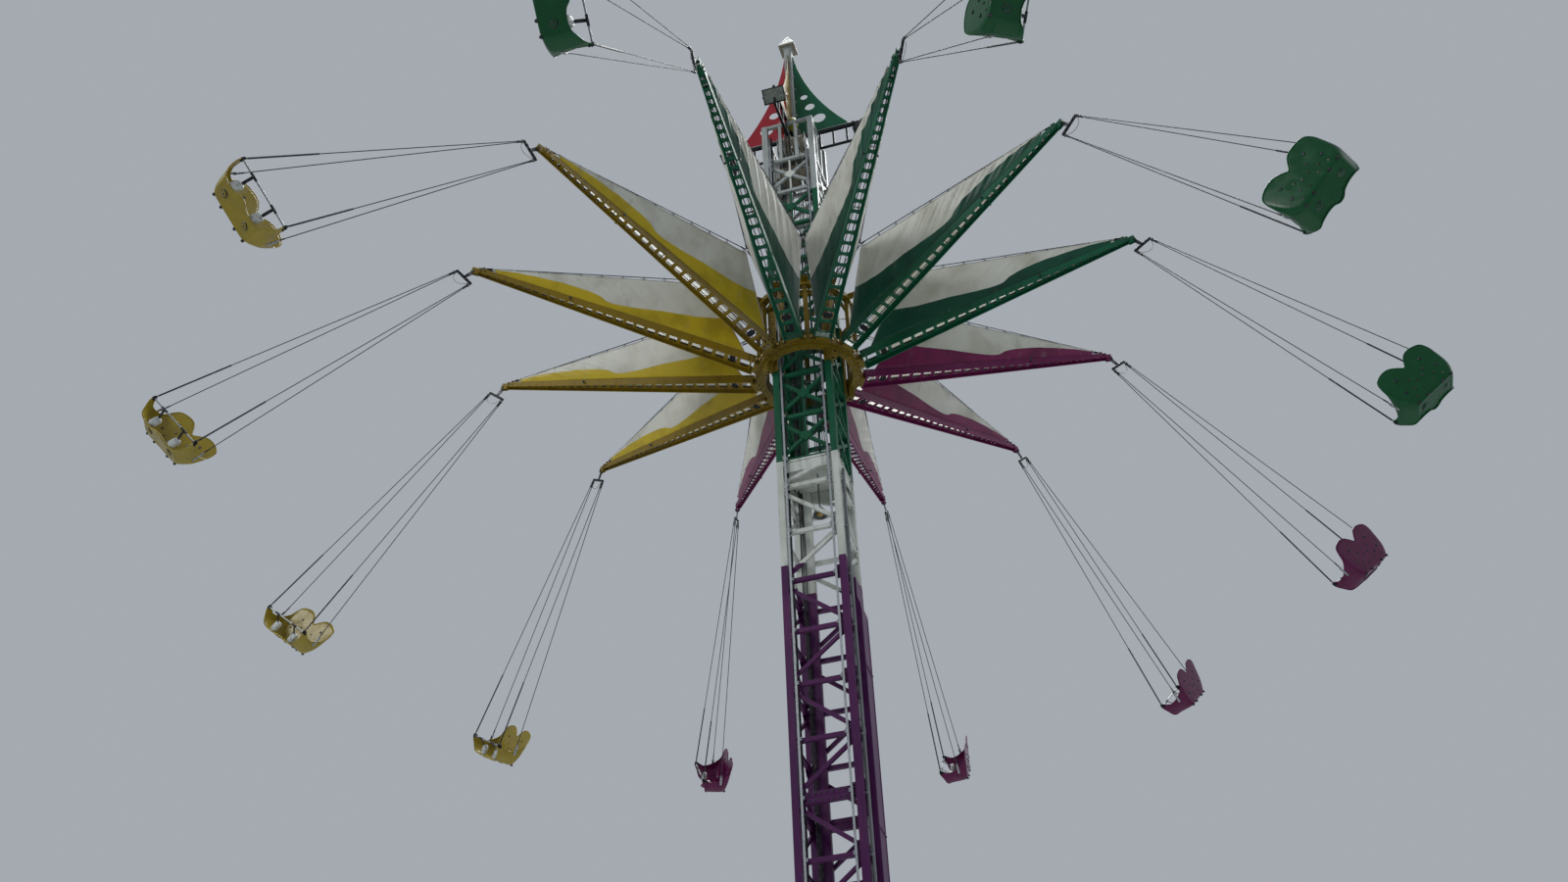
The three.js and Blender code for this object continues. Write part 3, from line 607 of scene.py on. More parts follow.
def sidePlate(way):
    # a C section, its back outwards, whose size shrinks in a straight line from root to tip
    lip, plate = arm["lip"], arm["plate"] * 0.75
    stations = np.linspace(0, boxLength, 9)
    wide, high = armSize(stations)
    y, z, one = wide / 2, high / 2, np.ones_like(wide)
    outline = [(y, -z), (y, z), (y - lip, z), (y - lip, z - plate), (y - plate, z - plate),
               (y - plate, -z + plate), (y - lip, -z + plate), (y - lip, -z)]
    rings = np.stack([np.stack([stations, way * a, b * one], 1) for a, b in outline], 1)
    return lofted(rings if way > 0 else rings[:, ::-1])


def slottedWeb():
    # each cell joins its rectangle to a rounded oblong: both outlines are read at the same angles, the
    # first scaled to the larger of sine and cosine, the second with both raised to 1/2
    pitch = np.linspace(arm["growth"], 1.0, arm["slots"])
    start, end = web["start"], boxLength - web["end"]
    edges = start + np.concatenate([[0], np.cumsum(pitch)]) / pitch.sum() * (end - start)
    low, high = edges[:-1, None], edges[1:, None]
    angle = (np.arange(web["turns"]) / web["turns"] * 2 * np.pi)[None]
    cosine, sine = np.cos(angle), np.sin(angle)
    largest = np.maximum(np.abs(cosine), np.abs(sine))
    middle, half = (low + high) / 2, (high - low) / 2
    outerX = middle + half * cosine / largest
    outerY = sine / largest * (armSize(outerX)[0] / 2 - arm["plate"] * web["frame"])
    share = middle / boxLength
    across = arm["slotWide"][0] + (arm["slotWide"][1] - arm["slotWide"][0]) * share
    lengthwise = arm["slotLong"][0] + (arm["slotLong"][1] - arm["slotLong"][0]) * share ** 2
    innerY = np.sign(sine) * np.abs(sine) ** 0.5 * armSize(middle)[0] * across / 2
    innerX = middle + np.sign(cosine) * np.abs(cosine) ** 0.5 * half * lengthwise

    def layer(grow, lift):
        # the slot's outline grown about its middle, or the cell's own where grow is 0
        x, y = (middle + (innerX - middle) * grow, innerY * grow) if grow else (outerX, outerY)
        return np.stack([x, y, webHeight(x) + lift], -1)
    top, lip = arm["plate"] * web["top"], web["lip"]
    steps = ((0, top), (web["edge"], top), (1, top - 0.004), (1, -lip), (1.04, -lip), (1.05, 0), (0, 0))
    cells = [lofted(ring[::-1], capped=False) for ring in np.stack([layer(*step) for step in steps], 1)]
    plainX = np.array([end, boxLength - 0.02])
    y, z = armSize(plainX)[0] / 2 - arm["plate"] * web["frame"], webHeight(plainX)
    solidEnd = lofted(np.stack([np.stack([plainX, a * y, z + b], 1)
                                for a, b in ((-1, 0), (1, 0), (1, top), (-1, top))], 1))
    return joined(*cells, solidEnd), (edges[:-1] + edges[1:]) / 2


def endPlate(x):
    return slab((0.014, *armSize(x)), 0.003, (x, 0, 0))


armFit = {
    "plates": (0.008, boxLength - 0.008), "ribs": (1.22, 2.46, 3.55, boxLength - 0.2), "knob": 0.67,
    "cheek": (boxLength + 0.04, 0.025, -0.028), "pin": 0.014, "pinHalf": 0.045, "nut": 0.034,
    # place along and up the side plates of each bolt
    "bolts": ((0.05, 0.045), (0.05, -0.045), (0.13, 0.045), (0.13, -0.045), (boxLength - 0.05, 0.025),
              (boxLength - 0.05, -0.025), (boxLength - 0.12, 0.0)),
    "conduit": 0.0085, "conduitOff": 0.16, "conduitRun": (0.03, boxLength - 0.12), "saddle": 0.0255,
}


def armShapes():
    # each shape with its material, None for the arm's colour, and whether it turns with the swing
    body, slotSpots = slottedWeb()
    parts = [sidePlate(1), sidePlate(-1), body] + [endPlate(x) for x in armFit["plates"]]
    # stiffener ribs stand on the web between the slots
    for x in armFit["ribs"]:
        wide, high = armSize(x)
        parts.append(slab((0.008, wide - 0.02, high * 0.4), 0.002, (x, 0, high * 0.2)))
    # the second slot from the root is closed by an oval cover with its flange
    cover = turnedShape([[0.085, 0.010], [0.085, -0.006], [0.06, -0.018], [0.0, -0.020]], 24)
    spot = moved(slotSpots[1], 0, webHeight(slotSpots[1]))
    cover = placed(cover, spot @ turned("z", 90) @ np.diag([1, 0.62, 1, 1]))
    # fork cheeks and pin on the tip
    x, y, z = armFit["cheek"]
    cheeks = slab((0.14, 0.018, 0.136), 0.005, (x, -y, z), (x, y, z))
    below = arm["drop"] * np.array([math.sin(armSlope), 0, math.cos(armSlope)])
    pin = np.array([boxLength + arm["end"], 0, 0]) - below
    rod = turnedShape([[armFit["pin"], way * armFit["pinHalf"]] for way in (-1, 1)], 12)
    rod = placed(rod, aimed(pin, (0, 1, 0)))
    nuts = placed(boltHead(0.022, 0.018), *[aimed(pin + [0, way * armFit["nut"], 0], (0, way, 0))
                                            for way in (1, -1)])
    # bolt rows on the root and on the tip block, and one stop knob two thirds of the way out
    spots = [aimed((x, way * armSize(x)[0] / 2, z), (0, way, 0))
             for way in (-1, 1) for x, z in armFit["bolts"]]
    knob = turnedShape([[0.012, 0], [0.012, 0.022], [0.022, 0.024], [0.026, 0.032], [0.020, 0.044],
                        [0.006, 0.05]], 14)
    x = armFit["knob"] * boxLength
    knobs = placed(knob, *[aimed((x, way * armSize(x)[0] / 2, 0), (0, way, 0)) for way in (-1, 1)])
    # two conduits lie on the web from end to end and cross every slot
    run = np.linspace(*armFit["conduitRun"], 16)
    wide, lift = armSize(run)[0], webHeight(run) + arm["plate"] * web["top"] + 0.008
    conduits = [pipe(np.stack([run, way * wide * armFit["conduitOff"], lift], 1), armFit["conduit"], 8)
                for way in (-1, 1)]
    # a bridge of strip steel holds them down on every third bar between slots
    saddles = slab((0.022, 0.4, 0.004), 0.0015, *[
        moved(x, 0, webHeight(x) + armFit["saddle"]) @ np.diag([1, armSize(x)[0], 1, 1])
        for x in (slotSpots[1:-1:3] + slotSpots[2::3]) / 2])
    return [(joined(*parts), None, False), (cheeks, None, True), (joined(rod, nuts), darkSteel, True),
            (joined(placed(boltHead(0.013, 0.014), *spots), knobs), darkSteel, False),
            (cover, paints["black"], False), (joined(*conduits, saddles), sleeveRubber, False)]


def makeArm(number, shapes):
    colour = family[number - 1]
    spoke, place = armFrame(number)
    hinge = moved(arm["pivotRadius"], 0, arm["pivotHeight"])
    aside = spoke @ hinge @ turned("z", -swing["trail"]) @ np.linalg.inv(spoke @ hinge) @ place
    makePiece(f"arm_body_{number:02d}", [
        (placed(shape, aside if turns else place), material or paints[colour])
        for shape, material, turns in shapes],
        "rotor", (f"arm_{number:02d}",), merge=weld)


# Sails: each arm carries two, which stand on its side plates and lean apart to the knots on either side
knot = {
    "radius": 1.96, "height": 21.2, "cage": (1.03, 0.035, 21.168), "inset": (0.03, 0.014),
    "innerRope": 0.0075, "outerRope": 0.0085,
}
sail = {
    "foot": (0.23, 4.78), "inner": (0.032, 0.038), "outer": (0.09, 0.052), "hollow": 0.010, "ties": 11,
    "scallop": 0.014, "belly": 0.03, "crease": 0.055, "ripple": 0.004, "thick": 0.0012, "columns": 130,
    "rows": 20, "slack": [0.25, 0.3, 0.2, 0.35, 0.3, 0.2, 0.25, 0.3, 0.2, 0.45, 0.8, 1.0],
    "footTies": (0.02, 0.2, 0.4, 0.6, 0.8, 0.98), "hem": 0.006, "room": 0.1, "strap": (4.68, 4.73),
    "sharp": 80,
}


def knotAt(way, aside=0.0, below=0.0):
    half = math.pi / armCount
    return np.array([knot["radius"] * math.cos(half), way * (knot["radius"] * math.sin(half) - aside),
                     knot["height"] - below])


def stayTip():
    return (upright @ [boxLength - 0.075, 0, arm["tipHigh"] / 2 + 0.06, 1])[:3]


def onPlate(x, way, lift=0.002):
    wide, high = armSize(x)
    return (upright @ [x, way * (wide - arm["plate"]) / 2, high / 2 + lift, 1])[:3]


def sailGrid(number, way):
    # foot and head are straight lines in one plane and every point lies between them; the foot hollows
    # by the sine of its run and the head sags between ties; square to the plane the cloth has a belly,
    # narrow creases that fall from the ties towards the root, and a slow ripple, all nought at the foot
    shade = np.random.default_rng(80 + 2 * number + way)
    start, end = onPlate(sail["foot"][0], way), onPlate(sail["foot"][1], way)
    length = np.linalg.norm(end - start)
    along = (end - start) / length
    rise = knotAt(way, *sail["inner"]) - start
    inner = rise @ along
    rise = rise - inner * along
    height = np.linalg.norm(rise)
    rise /= height
    outward = way * np.cross(rise, along)
    u = np.linspace(0, 1, sail["columns"])[None]
    v = np.linspace(0, 1, sail["rows"])[:, None]
    beyond, outer = sail["outer"]
    hollow = sail["hollow"] * np.sin(np.pi * u) ** 0.8
    sag = sail["scallop"] * np.abs(np.sin(np.pi * u * (sail["ties"] - 1))) * (1 - 0.6 * u)
    x = (1 - v) * u * length + v * (inner + (length + beyond - inner) * u)
    y = (1 - v) * hollow + v * (height + (outer - height) * u - sag)
    slack = sail["slack"][number - 1] * shade.uniform(0.7, 1.2)
    wave = u * (sail["ties"] - 1) + shade.uniform(1.0, 1.8) * (1 - v) * (1 - 0.5 * u)
    fold = np.exp(-(((wave % 1) - 0.5) / 0.13) ** 2)
    fold = fold + 0.6 * np.exp(-((((1.9 * wave + 0.3) % 1) - 0.5) / 0.16) ** 2)
    belly = sail["belly"] * np.sin(np.pi * v) * (1 - 0.7 * u)
    crease = sail["crease"] * slack * (fold - 0.35) * v ** 1.4 * (1 - v ** 9)
    ripple = sail["ripple"] * np.sin(19 * u + 4 * v + shade.uniform(0, 6)) * np.sin(np.pi * v)
    out = (belly + crease + ripple) * np.clip(np.sin(np.pi * u), 0, 1) ** 0.5
    points = (start + x[..., None] * along + y[..., None] * rise + out[..., None] * outward)
    area = length * height / 2 + (length + beyond) * outer / 2
    return points, (length, height, area)


def pointOn(line, share):
    # the point a share of the way along an evenly spaced line
    at = np.linspace(0, 1, len(line))
    return np.array([np.interp(share, at, line[:, axis]) for axis in range(3)])


def lacingShapes(points, way):
    # a webbing hem goes round the cloth; cord loops tie the head to the stay and the foot to the arm
    edge = np.concatenate([points[::3, -1], points[-1, ::-1], points[::-3, 0]])
    hem = pipe(edge, sail["hem"], 6)
    footHem = pipe(points[0, ::6] - [0, 0, 0.002], sail["hem"], 6)
    start, end = knotAt(way), stayTip()
    span, loops = end - start, []
    for share in np.linspace(0.01, 0.985, sail["ties"]):
        low = pointOn(points[-1], share)
        high = start + np.clip((low - start) @ span / (span @ span), 0.02, 0.98) * span
        loops.append(tieLoop(low, high, 0.013, 0.0055))
    for share in sail["footTies"]:
        low = onPlate(sail["foot"][0] + (sail["foot"][1] - sail["foot"][0]) * share, way, -0.012)
        loops.append(tieLoop(low, pointOn(points[0], share), 0.009, 0.003))
    return hem, footHem, joined(*loops)


def makeSail(number):
    spoke, _ = armFrame(number)
    rows, columns = sail["rows"], sail["columns"]
    for way, word in ((-1, "right"), (1, "left")):
        points, (length, height, area) = sailGrid(number, way)
        quads, corners = gridFaces(rows, columns)
        uv = np.stack([corners[..., 1] / (columns - 1), corners[..., 0] / (rows - 1)], -1)
        if way > 0:
            quads, uv = quads[:, ::-1], uv[:, ::-1]
        cloth = makePiece(f"sail_{word}_{number:02d}", [
            (placed(shapeOf(points.reshape(-1, 3), [(quads, uv)]), spoke), cloths[family[number - 1]])],
            "rotor", (f"sail_{number:02d}",), sharp=sail["sharp"])
        # the second wall takes the plain lining, and stands inside the V
        cloth.data.materials.append(lining)
        wall = cloth.modifiers.new("thickness", "SOLIDIFY")
        wall.thickness, wall.offset, wall.material_offset, wall.material_offset_rim = sail["thick"], 0, 1, 1
        hem, footHem, loops = lacingShapes(points, way)
        lacing = makePiece(f"lacing_{word}_{number:02d}", [
            (placed(hem, spoke), hemWebbing), (placed(footHem, spoke), hems[family[number - 1]]),
            (placed(loops, spoke), webbing)], "rotor", merge=weld)
    # a strap over the arm ties the pair together near the tip
    low, high = sail["strap"]
    wide, rise = armSize((low + high) / 2)
    corners = ((low, 0.001), (high, 0.001), (high, 0.004), (low, 0.004))
    strap = lofted([[[x, way * (wide / 2 - 0.004), rise / 2 + z] for x, z in corners] for way in (1, -1)])
    makePiece(f"sail_strap_{number:02d}", [(placed(strap, spoke @ upright), webbing)], "rotor")


def tieLoop(low, high, wide, radius):
    # an upright oval of cord that reaches a little past both points
    reach = (np.linalg.norm(high - low) + 0.022) / 2
    return hoop(12, wide, reach, radius, 5, aimed((low + high) / 2, high - low, (1, 0, 0)))


# Stays: lugs on the cage, double ropes out to the knots, and a rope from each knot to both tips beside it
swageShape = turnedShape([[0.010, 0], [0.014, 0.01], [0.014, 0.09], [0.010, 0.1]], 10)


def knotShapes():
    # lines and fittings about one knot, in the frame between two arms: two ropes from the cage, each with
    # an eye and a buckle at the cage and a swage at the knot's ring plate
    middle = np.array([knot["radius"], 0, knot["height"]])
    plate = turnedShape([[0.026, -0.006], [0.036, -0.003], [0.036, 0.003], [0.026, 0.006],
                         [0.026, -0.006]], 16)
    plate["groups"] = plate["groups"][:1]
    buckle = turnedShape([[0.010, 0], [0.016, 0.02], [0.016, 0.05], [0.011, 0.07], [0.011, 0.19],
                          [0.016, 0.21], [0.016, 0.24], [0.010, 0.26]], 10)
    lines, fittings = [], [placed(plate, moved(*middle))]
    (x, y, z), (inset, aside) = knot["cage"], knot["inset"]
    for way in (-1, 1):
        start, end = np.array([x, way * y, z]), middle + [-inset, way * aside, 0]
        direction = (end - start) / np.linalg.norm(end - start)
        lines.append(pipe(np.linspace(start, end, 5), knot["innerRope"], 8))
        fittings.append(placed(swageShape, aimed(end - direction * 0.12, direction)))
        fittings.append(placed(buckle, aimed(start + direction * 0.08, direction)))
        fittings.append(hoop(16, 0.022, 0.03, 0.006, 6, aimed(start + direction * 0.04, direction)))
    return joined(*lines), joined(*fittings)


def tipShapes():
    # lines, fittings and anchor of one arm tip: a rope from the knot on either side, and a tapered plate
    # with the shackle's bolt that stands on the arm
    tip = stayTip()
    lines, fittings = [], []
    for way in (-1, 1):
        ahead = (tip - knotAt(way)) / np.linalg.norm(tip - knotAt(way))
        head = knotAt(way) + ahead * knot["inset"][0]
        lines.append(pipe(np.linspace(head, tip, 8), knot["outerRope"], 8))
        fittings.append(placed(swageShape, aimed(head, ahead), aimed(tip - ahead * 0.15, ahead)))
    x0, x1 = boxLength - 0.12, boxLength - 0.03
    rise0, rise1 = armSize(x0)[1] / 2, armSize(x1)[1] / 2
    anchor = lofted([[[x0, y, rise0], [x1, y, rise1], [x1 - 0.015, y, rise1 + 0.068],
                      [x0 + 0.03, y, rise0 + 0.068]] for y in (0.019, -0.019)])
    fittings.append(placed(boltHead(0.016, 0.016), *[
        upright @ aimed(((x0 + x1) / 2, way * 0.019, rise1 + 0.045), (0, way, 0)) for way in (1, -1)]))
    return joined(*lines), joined(*fittings), placed(anchor, upright)


def makeStays():
    lug = lofted([[[0.85, -0.07, z], [0.96, -0.07, z], [1.055, -0.055, z], [1.055, 0.055, z], [0.96, 0.07, z],
                   [0.85, 0.07, z]] for z in (21.1503, 21.1653)])
    (innerLines, innerFittings), (outerLines, outerFittings, anchor) = knotShapes(), tipShapes()
    makePiece("stay_rope_lines", [
        (joined(placed(innerLines, *middles), placed(outerLines, *spokes)), rope),
        (joined(placed(innerFittings, *middles), placed(outerFittings, *spokes)), darkSteel),
        (placed(anchor, *spokes), zincPlate), (placed(lug, *middles), paints["ochre"])],
        "rotor", ("stay_ropes",), merge=weld)


# Swings
def swingFrame(number):
    trail, out = swing["trail"], swing["out"][number - 1]
    return (spokes[number - 1] @ moved(arm["pivotRadius"], 0, arm["pivotHeight"])
            @ turned("z", -trail) @ turned("y", -out) @ turned("z", trail))


sling = {
    "rope": 0.0075, "foot": 0.5275, "swage": [[0.008, 0], [0.0125, 0.01], [0.0125, 0.09], [0.008, 0.1]],
    # each rope: place across the seat, height of its foot, length and radius of the sleeve
    "ropes": ((0.315, -0.02, 1.25, 0.013), (-0.06, 0.04, 0.12, 0.011)),
    "hanger": ((0.02, -0.216), (0.03, -0.1), (0.034, 0.0), (0.024, 0.026), (0, 0.034)), "slack": 0.15,
}


def slingShapes():
    # shapes of one sling about its pivot: hanger, spreader, four ropes, sleeves and a slack safety loop
    drop, half = swing["spreaderDrop"], swing["spreader"] / 2
    outline = [(-w, z) for w, z in sling["hanger"][:1]] + list(sling["hanger"])
    outline += [(-w, z) for w, z in sling["hanger"][-2:0:-1]]
    hanger = lofted([[[w, y, z] for w, z in outline] for y in (0.009, -0.009)])
    hanger = placed(hanger, turned("z", -swing["trail"]))
    spreader = placed(softBlock((2 * half + 0.04, 0.04, 0.04), 8, 8, 16), moved(0, 0, -drop))
    collars = placed(turnedShape([[0.024, -0.014], [0.027, -0.01], [0.027, 0.01], [0.024, 0.014]], 12),
                     *[aimed((x, 0, -drop), (1, 0, 0)) for x in (-half + 0.045, half - 0.045, -0.05, 0.05)])
    swage = turnedShape(sling["swage"], 10)
    lines, sleeves, shackles = [], [], []
    for side in (-1, 1):
        for y, top, sleeve, wide in sling["ropes"]:
            start = np.array([side * half, (0.012 if y > 0 else -0.012), -drop - 0.05])
            end = np.array([side * sling["foot"], y, -swing["seatDrop"] + top + 0.03])
            direction = (end - start) / np.linalg.norm(end - start)
            lines.append(pipe(np.linspace(start, end, 10), sling["rope"], 7))
            sleeves.append(pipe(end - direction * np.linspace(sleeve, 0.03, 5)[:, None], wide, 10))
            shackles.append(placed(swage, aimed(start + direction * 0.03, direction)))
            above, below = start + direction * 0.008, end - [0, 0, 0.012]
            shackles.append(hoop(14, 0.02, 0.034, 0.0065, 6, aimed(above, direction)))
            shackles.append(hoop(14, 0.016, 0.0272, 0.0065, 6, aimed(below, direction, (0, 1, 0))))
    # a bent rod stands off below the spreader from end to end
    x = np.linspace(-1, 1, 21)
    height = -drop - 0.04 - sling["slack"] * (1 - np.abs(x) ** 2.5)
    loop = pipe(np.stack([x * (half - 0.01), np.full(21, 0.02), height], 1), 0.004, 6)
    return [(hanger, darkSteel), (spreader, paints["black"]), (joined(collars, *shackles), darkSteel),
            (joined(*lines), rope), (joined(*sleeves), sleeveRubber), (loop, darkSteel)]


seat = {
    "around": 132, "up": 20, "wall": 0.008, "trim": 0.008, "middle": 0.25, "seam": 0.21, "pan": -0.322,
    "bar": (0.315, -0.038), "barEnd": 0.53, "barRadius": 0.0125, "sharp": 70, "weld": 0.0004,
}


def seatControls():
    # right half of the shell from the front middle to the back middle: for each station the points on
    # the pan, at the pan's edge, on the bilge, half way up the wall and on the rim
    rows = [
        # pan, edge, bilge, wall, rim
        [(0, .12, -.322), (0, .235, -.322), (0, .25, -.323), (0, .256, -.329), (0, .257, -.34)],
        [(.04, .12, -.322), (.05, .222, -.322), (.055, .235, -.323), (.058, .24, -.329), (.058, .241, -.34)],
        [(.1, .1, -.322), (.12, .172, -.322), (.125, .185, -.323), (.126, .19, -.329), (.126, .191, -.34)],
        [(.2, .09, -.322), (.24, .15, -.322), (.25, .164, -.323), (.25, .17, -.329), (.25, .171, -.34)],
        [(.28, .1, -.322), (.35, .17, -.321), (.37, .183, -.32), (.374, .19, -.322), (.375, .191, -.332)],
        [(.3, .12, -.322), (.4, .205, -.318), (.435, .228, -.3), (.447, .238, -.292), (.452, .243, -.296)],
        [(.32, .12, -.322), (.41, .2, -.315), (.49, .235, -.245), (.512, .262, -.19), (.52, .285, -.165)],
        [(.33, .11, -.322), (.41, .18, -.315), (.51, .21, -.205), (.53, .27, -.1), (.533, .325, -.082)],
        [(.34, .1, -.322), (.41, .15, -.315), (.515, .17, -.195), (.533, .25, -.08), (.535, .325, -.022)],
        [(.34, .08, -.322), (.41, .12, -.315), (.515, .13, -.19), (.535, .2, -.08), (.535, .265, -.02)],
        [(.34, .05, -.322), (.41, .07, -.315), (.515, .08, -.19), (.535, .12, -.12), (.535, .15, -.078)],
        [(.34, 0, -.322), (.41, 0, -.315), (.515, 0, -.19), (.535, .01, -.11), (.535, .02, -.06)],
        [(.34, -.06, -.322), (.41, -.08, -.315), (.515, -.09, -.185), (.535, -.11, -.08), (.535, -.12, .01)],
        [(.33, -.1, -.322), (.4, -.14, -.312), (.505, -.165, -.165), (.53, -.2, -.02), (.533, -.225, .1)],
        [(.31, -.12, -.322), (.37, -.175, -.31), (.465, -.212, -.15), (.505, -.245, .05), (.52, -.27, .22)],
        [(.27, -.13, -.322), (.31, -.19, -.31), (.385, -.225, -.13), (.44, -.262, .11), (.47, -.294, .325)],
        [(.22, -.13, -.322), (.25, -.194, -.31), (.285, -.23, -.12), (.31, -.272, .14), (.325, -.304, .379)],
        [(.15, -.13, -.322), (.17, -.194, -.31), (.185, -.23, -.12), (.185, -.272, .14), (.185, -.304, .368)],
        [(.08, -.13, -.322), (.09, -.194, -.31), (.095, -.228, -.13), (.095, -.265, .09), (.085, -.296, .29)],
        [(0, -.13, -.322), (0, -.194, -.31), (0, -.226, -.14), (0, -.258, .04), (0, -.284, .212)],
    ]
    half = np.array(rows, float)
    mirror = half[-2:0:-1] * [-1, 1, 1]
    return np.concatenate([half, mirror])


def seatShell():
    # the control net is run round by one closed curve for each level, then up by one curve for each
    # station; the pan closes on a straight seam across it, where the sine of the way round gives a front
    # station and the back station that faces it the same point
    net = smoothLine(seatControls(), seat["around"], closed=True)            # station, level, xyz
    way = 2 * math.pi * np.arange(seat["around"])[:, None, None] / seat["around"]
    seam = np.sin(way) * [seat["seam"], 0, 0] + [0, 0, seat["pan"]]
    net = np.concatenate([seam, net], 1)
    rows = smoothLine(np.swapaxes(net, 0, 1), seat["up"])                     # level, station, xyz
    quads, corners = gridFaces(seat["up"], seat["around"], wrap=True)
    return shapeOf(rows.reshape(-1, 3), [(quads, corners / [seat["up"], seat["around"]])]), rows[-1]


def makeSeat(number, shell, fittings):
    colour = family[number - 1]
    place = swingFrame(number) @ moved(0, 0, -swing["seatDrop"])
    tub = makePiece(f"seat_shell_{number:02d}", [(placed(shell, place), gelcoats[colour])],
                    f"swing_{number:02d}", (f"seat_{number:02d}",),
                    sharp=seat["sharp"], merge=seat["weld"])
    wall = tub.modifiers.new("laminate", "SOLIDIFY")
    wall.thickness, wall.offset = seat["wall"], 0
    makePiece(f"seat_fittings_{number:02d}", [
        (placed(shape, place), material or gelcoats[colour]) for shape, material in fittings],
        f"swing_{number:02d}", merge=weld)


def backBolts():
    # dome bolts through the back, inside and out: place across, height and size of each
    lean, spots = np.array([0, -1, 0.155]), []
    for across, height, size in ((0.27, 0.16, 0.024), (0.15, 0.03, 0.018), (0.06, -0.05, 0.016),
                                 (0.20, -0.13, 0.016), (0.34, -0.08, 0.022), (0.10, -0.2, 0.015),
                                 (0.29, -0.23, 0.015)):
        back = np.interp(height, [-0.32, -0.12, 0.14, 0.38], [-0.197, -0.235, -0.277, -0.309])
        spots += [(aimed((way * across, back, height), lean), size) for way in (-1, 1)]
    bolts = [placed(domeBolt(size, 0.012), spot) for spot, size in spots]
    return joined(*bolts, *[placed(domeBolt(size * 0.7, 0.008), spot @ moved(0, 0, -0.012) @ turned("x", 180))
                            for spot, size in spots])


def seatIrons():
    # horn brackets hold the lap bar and the front ropes; steel straps with an eye hold the rear ropes
    brackets, irons = [], []
    for way in (-1, 1):
        brackets.append(slab((0.036, 0.075, 0.07), 0.008, (way * 0.53, 0.305, -0.032)))
        brackets.append(placed(boltHead(0.013, 0.012), *[aimed((way * 0.548, y, z), (way, 0, 0))
                                                         for y, z in ((0.305, -0.03), (0.275, -0.055))]))
        irons.append(slab((0.008, 0.045, 0.17), 0.002, (way * 0.544, -0.06, -0.035)))
        irons.append(hoop(16, 0.022, 0.026, 0.006, 6, moved(way * 0.535, -0.06, 0.055) @ turned("z", 90)))
        irons.append(placed(domeBolt(0.011, 0.008), *[aimed((way * 0.548, -0.06, z), (way, 0, 0))
                                                      for z in (-0.09, -0.03)]))
    return joined(*brackets), joined(*irons)


def seatFittings(rim):
    middle, bar = seat["middle"], seat["bar"]
    trim = pipe(rim, seat["trim"], 8, closed=True)
    lapBar = pipe(np.linspace((-seat["barEnd"], *bar), (seat["barEnd"], *bar), 13), seat["barRadius"], 12)
    grips = placed(turnedShape([[0.014, -0.07], [0.019, -0.065], [0.019, 0.065], [0.014, 0.07]], 12),
                   *[aimed((way * middle, *bar), (1, 0, 0)) for way in (-1, 1)])
    posts = placed(softBlock((0.14, 0.09, 0.2), 3.0, 12, 24),
                   *[moved(way * middle, 0.15, -0.225) for way in (-1, 1)])
    # webbing from each post up to the lap bar, 45 mm wide
    line = smoothLine([(0.165, -0.165), (0.20, -0.14), (0.25, -0.10), (0.298, -0.052), (0.315, -0.024)], 12)
    strap = lofted([[[x, y, z + lift] for x, lift in ((-0.0225, -0.0015), (0.0225, -0.0015), (0.0225, 0.0015),
                                                      (-0.0225, 0.0015))] for y, z in line])
    straps = placed(strap, *[moved(way * middle, 0, 0) for way in (-1, 1)])
    # a dark flat ring, a raised cap in the shell's colour and a bolt mark each post's foot under the pan
    under = [aimed((way * middle, 0.0, -0.326), (0, 0, -1)) for way in (-1, 1)]
    plates = placed(turnedShape([[0.054, 0], [0.056, 0.004], [0.052, 0.010], [0.040, 0.011]], 28), *under)
    caps = placed(turnedShape([[0.041, 0.002], [0.041, 0.014], [0.034, 0.018], [0.01, 0.018]], 28), *under)
    capBolts = placed(domeBolt(0.013, 0.012), *[spot @ moved(0, 0, 0.016) for spot in under])
    # rubber buffers along the rear edge of the pan
    buffer = turnedShape([[0.018, -0.006], [0.018, 0.008], [0.024, 0.010], [0.024, 0.026], [0.017, 0.038],
                          [0.006, 0.042]], 14)
    buffers = placed(buffer, *[aimed((way * x, y, z), (0, -0.62, -0.78)) for way in (-1, 1)
                               for x, y, z in ((0.36, -0.176, -0.306), (0.17, -0.188, -0.31))])
    brackets, irons = seatIrons()
    return [(joined(trim, caps), None), (lapBar, zincPlate), (grips, sleeveRubber), (posts, padRubber),
            (straps, webbing), (joined(plates, capBolts), darkSteel), (backBolts(), darkSteel),
            (buffers, sleeveRubber), (brackets, paints["black"]), (irons, zincPlate)]


# Crown: a square mast with four fins, each in its own colour, and a lantern with a pyramid roof
crown = {
    "foot": 26.1503, "mast": 0.16, "mastTop": 29.03, "finTop": 28.75, "reach": 1.13, "knee": (0.289, 27.355),
    "thick": 0.012, "holes": [(0.275, 27.33, 0.08), (0.385, 26.98, 0.105), (0.56, 26.56, 0.14)],
    "fins": ["green", "purple", "red", "yellow"], "lantern": 0.35, "eave": 0.022, "peak": 29.513,
    "domes": ((-0.16, -0.32, 26.07), (0.08, -0.34, 26.07)),
}
square = ((-1, -1), (1, -1), (1, 1), (-1, 1))


